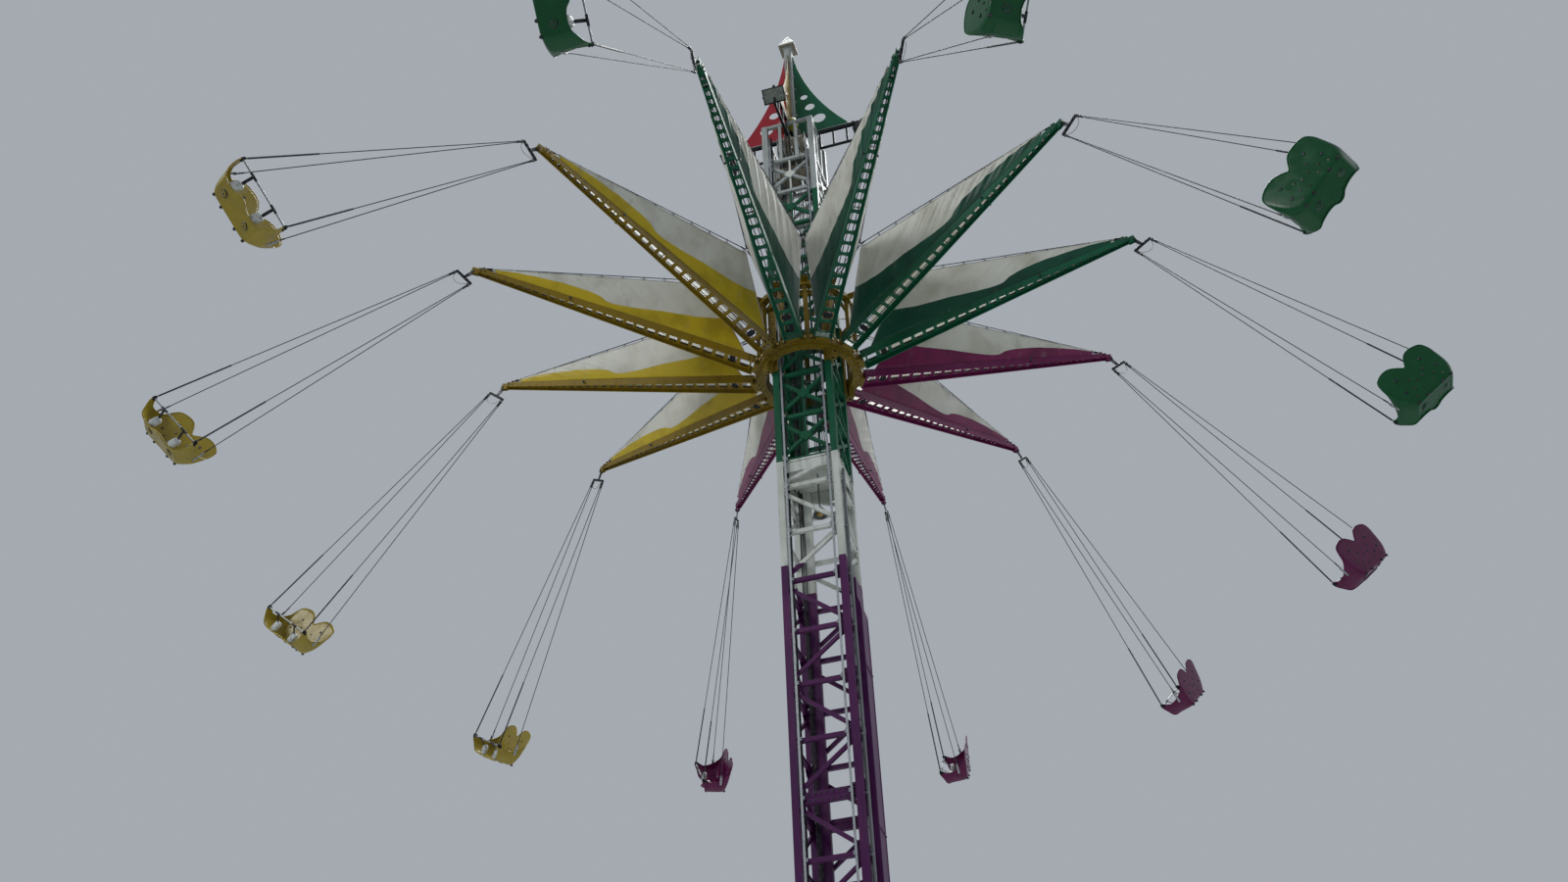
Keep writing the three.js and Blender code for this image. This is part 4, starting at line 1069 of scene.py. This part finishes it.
def cutPlate(outline, holes, thick):
    # a flat plate across y = 0: both faces are filled between the outline and round holes, with walls between
    work = bmesh.new()
    rims = [np.asarray(outline, float)] + [circle(36, radius) + [x, z] for x, z, radius in holes]
    for rim in rims:
        corners = [work.verts.new((x, 0, z)) for x, z in rim]
        for one, other in zip(corners, corners[1:] + corners[:1]):
            work.edges.new((one, other))
    bmesh.ops.triangle_fill(work, use_beauty=True, edges=work.edges[:])
    work.verts.index_update()
    flat = np.array([tuple(corner.co) for corner in work.verts])
    faces = np.array([[corner.index for corner in face.verts] for face in work.faces])
    work.free()
    count = len(flat)
    side = flat[faces]
    facing = np.cross(side[:, 1] - side[:, 0], side[:, 2] - side[:, 0])[:, 1] > 0
    faces[facing] = faces[facing][:, ::-1]
    walls, start = [], 0
    for rim in rims:
        here = np.arange(len(rim)) + start
        there = np.roll(here, -1)
        walls.append(np.stack([here, there, there + count, here + count], 1))
        start += len(rim)
    walls = np.concatenate(walls)
    points = np.concatenate([flat - [0, thick / 2, 0], flat + [0, thick / 2, 0]])
    return shapeOf(points, [(faces, plainCorners(faces)), (faces[:, ::-1] + count, plainCorners(faces)),
                            (walls, plainCorners(walls))])


def makeCrown():
    foot, half, cube = crown["foot"], crown["mast"] / 2, crown["lantern"] / 2
    # the hollow edge is a quadratic curve from the fin's top over its knee to its outer end
    t = np.linspace(0, 1, 25)[:, None]
    top, knee, end = np.array([[half + 0.012, crown["finTop"]], crown["knee"], [crown["reach"], foot + 0.07]])
    edge = (1 - t) ** 2 * top + 2 * t * (1 - t) * knee + t ** 2 * end
    outline = np.concatenate([[[half - 0.01, foot], [crown["reach"], foot]], edge[::-1],
                              [[half - 0.01, crown["finTop"]]]])
    fin = [cutPlate(outline, crown["holes"], crown["thick"]), pipe(np.insert(edge, 1, 0, axis=1), 0.0065, 8)]
    fin += [hoop(36, radius, radius, 0.008, 6, moved(x, 0, z)) for x, z, radius in crown["holes"]]
    parts = [(placed(joined(*fin), spin), paints[colour]) for spin, colour in zip(quarters, crown["fins"])]
    heights = np.linspace(foot + 0.25, crown["finTop"] - 0.25, 6)
    cleats = joined(slab((0.034, 0.03, 0.07), 0.004, *[(half + 0.014, 0, z) for z in heights]),
                    slab((1.0, 0.04, 0.022), 0.004, (0.61, 0, foot + 0.012)))
    bolts = [spin @ aimed((half + 0.018, way * 0.015, z + up), (0, way, 0))
             for spin in quarters for z in heights for way in (-1, 1) for up in (-0.02, 0.02)]
    low, high = crown["mastTop"], crown["mastTop"] + crown["eave"]
    mast = joined(slab((2 * half, 2 * half, low + 0.02 - foot), 0.012, (0, 0, (low + 0.02 + foot) / 2)),
                  slab((0.34, 0.34, 0.016), 0.004, (0, 0, foot + 0.009)),
                  slab((0.20, 0.20, 0.03), 0.006, (0, 0, low - 0.015)))
    # the lantern is a steep pyramid on a flat soffit with a turned-down eave
    roof = lofted([[[a * s, b * s, z] for a, b in square]
                   for s, z in ((cube - 0.012, low), (cube, low), (cube + 0.004, high),
                                (cube - 0.004, high + 0.006), (0.012, crown["peak"] - 0.02),
                                (0.004, crown["peak"]))])
    soffit = slab((2 * cube - 0.004, 2 * cube - 0.004, 0.008), 0.002, (0, 0, low - 0.004))
    parts += [(mast, paints["dull"]), (roof, paints["white"]), (soffit, paints["beige"]),
              (placed(cleats, *quarters), paints["dull"]),
              (placed(boltHead(0.008, 0.008), *bolts), darkSteel)]
    # two beacon domes stand on the head before the mast's foot
    dome = turnedShape([[0.10, 0], [0.11, 0.012], [0.11, 0.04], [0.10, 0.06], [0.098, 0.14], [0.08, 0.20],
                        [0.045, 0.24], [0.01, 0.252]], 20)
    parts += [(placed(dome, moved(*spot)), lens)
              for spot, lens in zip(crown["domes"], (redAcrylic, limeAcrylic))]
    makePiece("crown_mast_and_fins", parts, "tower", ("crown",), merge=weld)


# Floodlights: each hangs in a yoke at the end of a ladder bracket on the head
flood = {"reach": 1.40, "top": 26.15, "bottom": 25.6, "bar": 0.05, "inside": 0.5253, "rungs": 4,
         "wide": 0.44, "high": 0.31, "deep": 0.12, "tilt": 128, "place": (1.42, 0, 25.81)}


def floodBracket():
    # bars and bolts of one ladder bracket: the top bar is a channel whose open side looks down
    half, length, inside = flood["bar"] / 2, flood["reach"], flood["inside"]
    top, bottom, reach = flood["top"], flood["bottom"], flood["reach"] - flood["inside"]
    sides = [(length / 2, way * (half - 0.004), top - 0.044) for way in (-1, 1)]
    bars = [slab((length, 2 * half, 0.012), 0.003, (length / 2, 0, top - 0.006)),
            slab((length, 0.008, 0.085), 0.002, *sides),
            slab((reach, 2 * half, 0.04), 0.005, (inside + reach / 2, 0, bottom + 0.02))]
    rungs = inside + (reach - 0.04) * np.arange(flood["rungs"]) / (flood["rungs"] - 1) + 0.02
    bars.append(slab((0.04, 0.04, top - bottom - 0.02), 0.005, *[(x, 0, (top + bottom) / 2) for x in rungs]))
    bolts = [aimed((x, way * half, z), (0, way, 0)) for x in rungs for way in (-1, 1)
             for z in (bottom + 0.02, top - 0.04)]
    return joined(*bars), placed(boltHead(0.009, 0.009), *bolts)


def makeFloodlights():
    bars, bolts = floodBracket()
    # the housing looks outwards and down: its own Z is the glass side
    look = moved(*flood["place"]) @ turned("y", flood["tilt"])
    wide, high, deep = flood["wide"], flood["high"], flood["deep"]
    case = lofted([[[a * (high / 2 - i), b * (wide / 2 - i), z] for a, b in square]
                   for i, z in ((0.07, -deep), (0.02, -deep * 0.6), (0.0, -0.02), (0.0, 0.0), (0.02, 0.004),
                                (0.022, -0.006))])
    fins = slab((high * 0.62, 0.006, 0.05), 0.002, *[(0, y, -deep - 0.015)
                                                     for y in np.linspace(-wide * 0.3, wide * 0.3, 9)])
    glass = slab((high - 0.046, wide - 0.046, 0.006), 0.002, look)
    pins = [aimed((0, way * (wide / 2 + 0.009), -0.03), (0, way, 0)) for way in (-1, 1)]
    cheeks = [(0, way * (wide / 2 + 0.006), -0.09) for way in (-1, 1)]
    yoke = joined(slab((0.03, 0.006, 0.20), 0.002, *cheeks),
                  slab((0.03, wide + 0.018, 0.006), 0.002, (0, 0, -0.19)),
                  placed(boltHead(0.014, 0.012), *pins))
    makePiece("floodlights_on_brackets", [
        (placed(joined(bars, placed(joined(case, fins), look)), *quarters), paints["black"]),
        (placed(glass, *quarters), floodGlass),
        (placed(joined(bolts, placed(yoke, look)), *quarters), darkSteel)],
        "tower", ("light_frame",), merge=weld)


# Tower fittings
lattice = {
    "inner": 0.415, "plainTop": 15.12, "plainPitch": 0.925, "middle": [16.045, 16.97], "deck": 17.5,
    "crossTop": 24.05, "crossBays": 7, "head": 24.97, "face": 0.515,
}


def latticeRows():
    # heights of the girts, each with the paint at that height
    low = np.arange(lattice["plainTop"], 0.6, -lattice["plainPitch"])[::-1]
    bays, rise = lattice["crossBays"], lattice["crossTop"] - lattice["deck"]
    cross = lattice["deck"] + rise * np.arange(1, bays) / bays
    bands = ((low, "purple"), ((*lattice["middle"], lattice["deck"]), "white"), (cross, "green"),
             ((lattice["crossTop"], lattice["head"]), "white"))
    return [(z, colour) for heights, colour in bands for z in heights]


girts = [z for z, _ in latticeRows()]


def makeGussets():
    # a plate at each end of every girt, above and below it, with three bolts
    gusset = lofted([[[0.0, y, 0.0], [0.09, y, 0.0], [0.09, y, 0.03], [0.04, y, 0.10], [0.0, y, 0.10]]
                     for y in (0.003, -0.003)])
    head = turnedShape([[0.011, 0], [0.011, 0.009], [0.007, 0.011]], 6)
    plates = {"purple": [], "white": [], "green": []}
    bolts, gap = [], 0.028
    y = -lattice["face"] - 0.003
    for z, colour in latticeRows():
        for way, up in square:
            place = moved(way * lattice["inner"], y, z + up * gap) @ np.diag([-way, 1, up, 1])
            plates[colour] += [spin @ place for spin in quarters]
            bolts += [spin @ aimed((way * (lattice["inner"] - a), y - 0.003, z + up * (gap + b)), (0, -1, 0))
                      for spin in quarters for a, b in ((0.018, 0.08), (0.02, 0.025), (0.07, 0.016))]
    for colour, places in plates.items():
        makePiece(f"tower_gussets_{colour}", [(placed(gusset, *places), paints[colour])], "tower")
    makePiece("tower_bolts", [(placed(head, *bolts), darkSteel)], "tower")


flange = {"levels": (11.42 - 0.052, 11.42 + 0.052), "size": (0.83, 0.072, 0.082), "middle": -0.485,
          "face": -0.523, "boltHalf": 0.36, "bolts": 9}


def makeJointFlange():
    # the joint of two tower lengths: two deep flanges, each with a row of bolts
    plates = slab(flange["size"], 0.006, *[(0, flange["middle"], z) for z in flange["levels"]])
    row = np.linspace(-flange["boltHalf"], flange["boltHalf"], flange["bolts"])
    bolts = placed(boltHead(0.012, 0.012), *[aimed((x, flange["face"], z), (0, -1, 0))
                                             for x in row for z in flange["levels"]])
    makePiece("tower_joint_flange", [(placed(plates, *quarters), paints["purple"]),
                                     (placed(bolts, *quarters), darkSteel)], "tower")


bay = {"bar": (0.034, 0.03), "gap": 0.07, "barFace": -0.482, "plate": (0.17, 0.012, 0.17),
       "plateFace": -0.512, "greenTop": 24.5}


def makeMiddleBars():
    # upright middle bars in the crossed bays, and a plate where the braces cross
    bars = {"green": [], "white": []}
    rows = [z for z in girts if z >= lattice["deck"]]
    for low, high in zip(rows[:-1], rows[1:]):
        middle = moved(0, 0, (low + high) / 2)
        shape = joined(
            slab((*bay["bar"], high - low - bay["gap"]), 0.004, middle @ moved(0, bay["barFace"], 0)),
            slab(bay["plate"], 0.004, middle @ moved(0, bay["plateFace"], 0) @ turned("y", 45)))
        bars["green" if high < bay["greenTop"] else "white"].append(placed(shape, *quarters))
    for colour, shapes in bars.items():
        makePiece(f"tower_middle_bars_{colour}", [(joined(*shapes), paints[colour])], "tower")


deck = {"half": 0.41, "soffit": 17.4655, "skirt": (-0.497, 17.36), "guard": (-0.42, 19.28), "guardHalf": 0.36,
        "slats": 19, "guardBars": (19.19, 19.37), "lamp": (0.05, -0.05, 16.6), "chain": (16.78, 17.45),
        "link": 0.044}


def makeDeckPanels():
    # a pale soffit and skirts close the underside of the deck, and a guard grating stands below the hub
    wide = 2 * deck["half"]
    panels = joined(slab((wide, wide, 0.006), 0.002, (0, 0, deck["soffit"])),
                    slab((wide, 0.01, 0.20), 0.003, *[spin @ moved(0, *deck["skirt"]) for spin in quarters]))
    makePiece("deck_soffit", [(panels, paints["white"])], "tower")
    slats = [(x, *deck["guard"]) for x in np.linspace(-deck["guardHalf"], deck["guardHalf"], deck["slats"])]
    guard = joined(slab((0.012, 0.01, 0.20), 0.002, *slats),
                   slab((0.76, 0.016, 0.02), 0.003, *[(0, deck["guard"][0], z) for z in deck["guardBars"]]))
    makePiece("guard_grating", [(guard, darkSteel)], "tower")


hoist = {"height": 25.66, "rows": (-0.13, 0.17), "wheels": (-0.21, -0.07, 0.07, 0.21), "groove": 0.222,
         "cheeks": (-0.28, -0.14, 0.0, 0.14, 0.28), "case": (0.16, 25.18)}


def makeHoistGear():
    # grooved sheaves between cheek plates in the head, a gear case, and the ropes that fall from them
    high, groove = hoist["height"], hoist["groove"]
    half = [[0.05, 0.03], [0.235, 0.03], [0.245, 0.024], [groove, 0.006]]
    wheel = turnedShape([[r, -z] for r, z in half] + half[::-1], 32)
    spots = [(x, y) for y in hoist["rows"] for x in hoist["wheels"]]
    wheels = placed(wheel, *[aimed((x, y, high), (1, 0, 0)) for x, y in spots])
    cheeks = slab((0.012, 0.62, 0.50), 0.004, *[(x, 0.02, high) for x in hoist["cheeks"]])
    axles = placed(turnedShape([[0.03, -0.31], [0.03, 0.31]], 16),
                   *[aimed((0, y, high), (1, 0, 0)) for y in hoist["rows"]])
    drum = turnedShape([[0.10, -0.2], [0.12, -0.17], [0.12, 0.17], [0.10, 0.2]], 20)
    case = [slab((0.36, 0.34, 0.30), 0.03, (-0.14, *hoist["case"])),
            placed(drum, aimed((0.2, *hoist["case"]), (1, 0, 0))),
            slab((0.8, 0.05, 0.06), 0.006, (0, 0, 25.0), (0, 0.32, 25.0))]
    falls = [pipe(np.linspace((x, y + way * groove, 17.52), (x, y + way * groove, high), 12), 0.008, 6)
             for x, y in spots for way in (-1, 1) if (x > 0) == (way > 0) or y > 0]
    makePiece("hoist_gear", [(wheels, paints["beige"]), (joined(cheeks, axles), paints["white"]),
                             (joined(*case), paints["beige"]), (joined(*falls), rope)], "tower")


hoses = {
    "run": (0.34, 25.9), "sway": 0.004,
    # place and radius of each hose, then place and size of the clips at every girt
    "lines": ((-0.39, -0.35, 0.012), (-0.39, -0.32, 0.009), (-0.39, -0.29, 0.009), (-0.39, 0.30, 0.014),
              (0.385, 0.34, 0.012), (0.385, 0.30, 0.012), (0.385, -0.33, 0.009), (-0.35, 0.38, 0.011),
              (-0.38, 0.38, 0.011), (0.36, 0.385, 0.011)),
    "clips": ((-0.402, -0.32, 0.02, 0.11), (-0.405, 0.30, 0.02, 0.06), (0.399, 0.32, 0.022, 0.09),
              (-0.365, 0.395, 0.08, 0.02)),
}


def makeHoses():
    # hoses and cables clipped inside the legs, from the foot to the head
    z, lines = np.linspace(*hoses["run"], 46), []
    for x, y, radius in hoses["lines"]:
        aside, along = hoses["sway"] * np.array([np.sin(z * 2.1 + x * 40), np.cos(z * 1.7 + y * 30)])
        lines.append(pipe(np.stack([x + aside, y + along, z], 1), radius, 7))
    clips = [slab((across, along, 0.03), 0.004, *[(x, y, z) for z in girts])
             for x, y, across, along in hoses["clips"]]
    makePiece("tower_hoses", [(joined(*lines), sleeveRubber), (joined(*clips), zincPlate)], "tower")


ladder = {"x": 0.502, "rails": (-0.40, -0.255), "pitch": 0.28, "riser": (0.56, -0.375),
          "couplings": (3.4, 6.4, 9.4, 12.4, 15.4)}


def makeLadder():
    # a ladder on the right-hand face between the front leg and the trunk, and a pale pipe beside it
    rails = slab((0.03, 0.012, 16.6), 0.003, *[(ladder["x"], y, 8.75) for y in ladder["rails"]])
    middle = sum(ladder["rails"]) / 2
    rungs = placed(turnedShape([[0.009, -0.0665], [0.009, 0.0665]], 8), *[
        aimed((ladder["x"], middle, z), (0, 1, 0)) for z in np.arange(0.6, 17.0, ladder["pitch"])])
    riser = pipe(np.linspace((*ladder["riser"], 0.34), (*ladder["riser"], 17.2), 30), 0.026, 12)
    holders = slab((0.05, 0.07, 0.03), 0.004, *[(0.538, -0.375, z) for z in girts if z < 17])
    couplings = placed(turnedShape([[0.026, -0.05], [0.032, -0.045], [0.032, 0.045], [0.026, 0.05]], 12),
                       *[moved(*ladder["riser"], z) for z in ladder["couplings"]])
    makePiece("tower_ladder", [(joined(rails, rungs), zincPlate), (joined(riser, couplings), paints["grey"]),
                               (holders, zincPlate)], "tower")


trunk = {
    "back": 0.5155, "seams": (2.6, 5.4, 8.2, 11.0, 13.6),
    # front, half width and height of each ring
    "rings": ((0.632, 0.218, 0.345), (0.636, 0.222, 0.36), (0.636, 0.222, 14.66), (0.590, 0.205, 14.80),
              (0.585, 0.20, 15.17), (0.56, 0.18, 15.195)),
}


def makeTrunk():
    # the cable trunk on the same face: a folded cover that narrows in a slope at its head, with lapped seams
    cover = lofted([[[trunk["back"], -y, z], [x, -y, z], [x, y, z], [trunk["back"], y, z]]
                    for x, y, z in trunk["rings"]])
    seams = slab((0.130, 0.456, 0.030), 0.004, *[(0.5805, 0, z) for z in trunk["seams"]])
    folds = slab((0.008, 0.03, 14.2), 0.002, (0.6385, -0.19, 7.5), (0.6385, 0.19, 7.5))
    bolts = [aimed((0.646, y, z), (1, 0, 0)) for y in (-0.20, -0.07, 0.07, 0.20) for z in trunk["seams"]]
    makePiece("trunk_cover", [(joined(cover, seams, folds), paints["purple"]),
                              (placed(boltHead(0.008, 0.006), *bolts), darkSteel)],
              "tower", ("hoist_trunk",))


def makeDeckLamp():
    # a chain and a bowl lamp hang under the deck
    x, y, z = deck["lamp"]
    place = moved(x, y, z)
    bowl = turnedShape([[0.004, 0.16], [0.05, 0.15], [0.10, 0.08], [0.125, 0.0], [0.117, 0.0], [0.095, 0.07],
                        [0.05, 0.13], [0.004, 0.135]], 24)
    bulb = turnedShape([[0.004, 0.12], [0.045, 0.10], [0.06, 0.05], [0.045, 0.01], [0.004, 0.0]], 16)
    links = np.arange(*deck["chain"], deck["link"])
    chain = hoop(12, 0.016, 0.028, 0.005, 5, *[moved(x, y, z) @ turned("z", 90 * (n % 2))
                                               for n, z in enumerate(links)])
    makePiece("deck_lamp", [(placed(bowl, place), paints["grey"]), (placed(bulb, place), lampAcrylic),
                            (chain, darkSteel)], "tower", merge=weld)


guide = {"across": 0.365, "middle": 12.85, "length": 25.02, "clip": (0.028, -0.54),
         # width, depth and place of the rail's face and of its web
         "parts": ((0.036, 0.010, -0.5575), (0.012, 0.040, -0.5335))}


def makeGuideRails():
    # two slim T bars up the front, each held by a clip at every girt
    rails = [slab((wide, deep, guide["length"]), 0.002,
                  *[(way * guide["across"], y, guide["middle"]) for way in (-1, 1)])
             for wide, deep, y in guide["parts"]]
    inset, y = guide["clip"]
    spots = [moved(way * (guide["across"] - inset), y, z) for way in (-1, 1) for z in girts]
    bolts = placed(turnedShape([[0.008, 0], [0.008, 0.007]], 6),
                   *[spot @ moved(0, -0.024, 0) @ turned("x", 90) for spot in spots])
    makePiece("guide_rail_bars", [(joined(*rails, slab((0.034, 0.05, 0.05), 0.003, *spots)), zincPlate),
                                  (bolts, darkSteel)], "tower", ("guide_rails",))


def makeFootBolts():
    # anchor bolts round the foot and stiffeners between its beams
    edge, inner = 0.99, (-0.66, 0.0, 0.66)
    anchors = [moved(x, y, 0.04) for x in (-edge, *inner, edge) for y in (-edge, edge)]
    anchors += [moved(x, y, 0.04) for x in (-edge, edge) for y in inner]
    ribs = [spin @ moved(x, 0.7, 0.145) for spin in quarters for x in (-0.62, -0.31, 0.31, 0.62)]
    makePiece("foot_bolts", [(placed(boltHead(0.028, 0.03), *anchors), darkSteel),
                             (slab((0.012, 0.24, 0.20), 0.003, *ribs), paints["grey"])], "tower")


# Hub fittings: ring bolts, webs on the arm lugs, roller housings on the carriage, bolts and lamps on the cage
hub = {
    # radius and height of the bolts on the rings, then radius, half spread and heights on uprights and lugs
    "ringBolts": ((0.913, 19.70), (0.9, 21.06)), "boltPitch": 7.5,
    "sideBolts": (0.9035, 0.028, (19.90, 20.0, 20.9, 21.0)), "lugBolts": (0.963, 0.11, (19.75, 19.80)),
    "lamp": (0.94, 0.055, 19.775), "cap": (0.885, 21.165),
    "rod": ((0.868, 0.045, 20.35), (0.868, -0.045, 20.6)),
    # outlines of the knees at the foot and head of each upright
    "knees": (((0.903, 19.85), (0.938, 19.85), (0.903, 19.99)),
              ((0.903, 21.06), (0.903, 20.93), (0.938, 21.06))),
}
plainBolt = turnedShape([[0.012, 0], [0.012, 0.011], [0.008, 0.013]], 6)


def makeHubFittings():
    angles = np.arange(hub["boltPitch"] / 2, 360, hub["boltPitch"])
    bolts = [turned("z", a) @ moved(x, 0, z) @ turned("x", 180) for x, z in hub["ringBolts"] for a in angles]
    x, y, heights = hub["sideBolts"]
    bolts += [spin @ aimed((x, way * y, z), (1, 0, 0))
              for spin in middles for way in (-1, 1) for z in heights]
    x, y, heights = hub["lugBolts"]
    bolts += [spin @ aimed((x, way * y, z), (0, way, 0))
              for spin in spokes for way in (-1, 1) for z in heights]
    # gusset webs under the arm roots, and knees at both ends of each upright
    root = lofted([[[0.94, y, 19.71], [0.965, y, 19.712], [0.965, y, 19.835], [0.94, y, 19.845]]
                   for y in (0.006, -0.006)])
    roots = placed(root, *[spin @ moved(0, y, 0) for spin in spokes for y in (-0.116, 0.116)])
    knees = [placed(lofted([[[x, y, z] for x, z in corners] for y in (0.005, -0.005)]), *middles)
             for corners in hub["knees"]]
    # round marker lamps on the lower ring between the arms and a black cap on each upright
    lens = turnedShape([[0.026, 0], [0.026, 0.008], [0.020, 0.022], [0.006, 0.028]], 16)
    lensRim = turnedShape([[0.034, 0], [0.034, 0.008], [0.027, 0.010]], 16)
    x, y, z = hub["lamp"]
    lensSpots = [spin @ aimed((x, way * y, z), (1, 0, 0)) for spin in middles for way in (-1, 1)]
    cap = turnedShape([[0.02, 0], [0.02, 0.02], [0.034, 0.024], [0.038, 0.04], [0.03, 0.058],
                       [0.01, 0.066]], 16)
    x, z = hub["cap"]
    caps = placed(cap, *[spin @ moved(x, 0, z) for spin in middles])
    # thin rods tie the uprights to each other
    rods = []
    for spin, after in zip(middles, middles[1:] + middles[:1]):
        start, end = [(turn @ [*point, 1])[:3] for turn, point in zip((spin, after), hub["rod"])]
        rods.append(pipe(np.linspace(start, end, 3), 0.008, 7))
    makePiece("hub_fittings", [
        (placed(plainBolt, *bolts), darkSteel), (joined(roots, *knees), paints["ochre"]),
        (placed(lens, *lensSpots), lampAcrylic), (placed(lensRim, *lensSpots), paints["black"]),
        (caps, sleeveRubber), (joined(*rods), paints["yellow"])], "rotor")


carriage = {
    "boss": (0.874, 19.572), "under": (0.82, 19.50), "side": (0.82, 0.078, 19.575),
    "flangeBolts": (0.845, 19.6397), "boltPitch": 10, "clear": 8,
    "shoeBolts": (0.5574, 0.47, (19.6, 21.05, 0.2)),
}


def makeCarriageFittings():
    # roller housings on the carriage's four corner boxes: a round boss with a dark bore
    boss = turnedShape([[0.03, 0.004], [0.03, 0.024], [0.052, 0.024], [0.062, 0.016], [0.062, 0.0]], 24)
    bore = turnedShape([[0.0301, 0.006], [0.008, 0.008]], 24)
    corners = [turned("z", 45 + 90 * n) for n in range(4)]
    x, z = carriage["boss"]
    spots = [spin @ aimed((x, 0, z), (1, 0, 0)) for spin in corners]
    x, z = carriage["under"]
    spots += [spin @ moved(x, 0, z) @ turned("x", 180) for spin in corners]
    x, y, z = carriage["side"]
    sides = slab((0.11, 0.012, 0.16), 0.003, *[spin @ moved(x, way * y, z)
                                               for spin in corners for way in (-1, 1)])
    x, z = carriage["flangeBolts"]
    bolts = [turned("z", a) @ moved(x, 0, z) @ turned("x", 180)
             for a in np.arange(carriage["boltPitch"] / 2, 360, carriage["boltPitch"])
             if abs((a % 90) - 45) > carriage["clear"]]
    x, y, heights = carriage["shoeBolts"]
    bolts += [spin @ aimed((x, way * y, z), (1, 0, 0)) for spin in quarters
              for way in (-1, 1) for z in np.arange(*heights)]
    makePiece("carriage_fittings", [
        (joined(placed(boss, *spots), sides), paints["ochre"]), (placed(bore, *spots), sleeveRubber),
        (placed(plainBolt, *bolts), darkSteel)], "carriage")


# Stage and light
stage = {
    "radius": 160.0, "aim": (0, 0, 19.0),
    "lamps": (("overheadSoft", (6, 10, 46), 22, 12000), ("keySoft", (-20, -24, 34), 14, 3800),
              ("rimSoft", (30, 4, 26), 26, 500)),
}


def makeStage():
    floor = turnedShape([[stage["radius"], -0.06], [stage["radius"], -0.002]], 96)
    mesh = bpy.data.meshes.new("studioFloor")
    faces = [face.tolist() for group, _ in floor["groups"] for face in group]
    mesh.from_pydata(floor["points"].tolist(), [], faces)
    ground = bpy.data.objects.new("studioFloor", mesh)
    mesh.materials.append(startMaterial("paleFloor", {"Base Color": linear("#d9dadb"), "Roughness": 0.9})[0])
    bpy.context.scene.collection.objects.link(ground)
    world = bpy.data.worlds.new("studio")
    bpy.context.scene.world = world
    bpy.context.scene.view_settings.view_transform = "Standard"
    world.use_nodes = True
    sky = world.node_tree.nodes["Background"]
    sky.inputs["Color"].default_value = linear("#cfd6de")
    sky.inputs["Strength"].default_value = 0.6
    for name, place, size, power in stage["lamps"]:
        lamp = bpy.data.lights.new(name, "AREA")
        lamp.shape, lamp.size, lamp.energy = "DISK", size, power
        light = bpy.data.objects.new(name, lamp)
        light.matrix_world = Matrix(aimed(place, np.subtract(place, stage["aim"])).tolist())
        bpy.context.scene.collection.objects.link(light)


makeCamera()
makeStage()
print("camera, floor and light made")

# Carried-over solids get their paint
paintOf = {
    "base_frame": "grey", "tower_lower": "purple", "tower_middle": "white", "tower_upper": "green",
    "tower_head": "dull", "carriage_frame": "ochre", "hub_cage": "ochre",
}
for node, paint in paintOf.items():
    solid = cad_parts[node]
    solid.data.materials.clear()
    solid.data.materials.append(paints[paint])

armParts = armShapes()
for number in range(1, armCount + 1):
    makeArm(number, armParts)
    makeSail(number)
print("arms and sails made")
for make in (makeStays, makeCrown, makeFloodlights, makeGussets, makeJointFlange, makeMiddleBars,
             makeDeckPanels, makeHoistGear, makeHoses, makeLadder, makeTrunk, makeDeckLamp, makeGuideRails,
             makeFootBolts, makeHubFittings, makeCarriageFittings):
    make()
print("crown, floodlights, tower and hub fittings made")
slingParts = slingShapes()
shell, rim = seatShell()
fittings = seatFittings(rim)
for number in range(1, armCount + 1):
    place = swingFrame(number)
    makePiece(f"sling_ropes_{number:02d}", [
        (placed(shape, place), material) for shape, material in slingParts], f"swing_{number:02d}",
              (f"sling_{number:02d}",), merge=weld)
    makeSeat(number, shell, fittings)
print("swings and seats made")
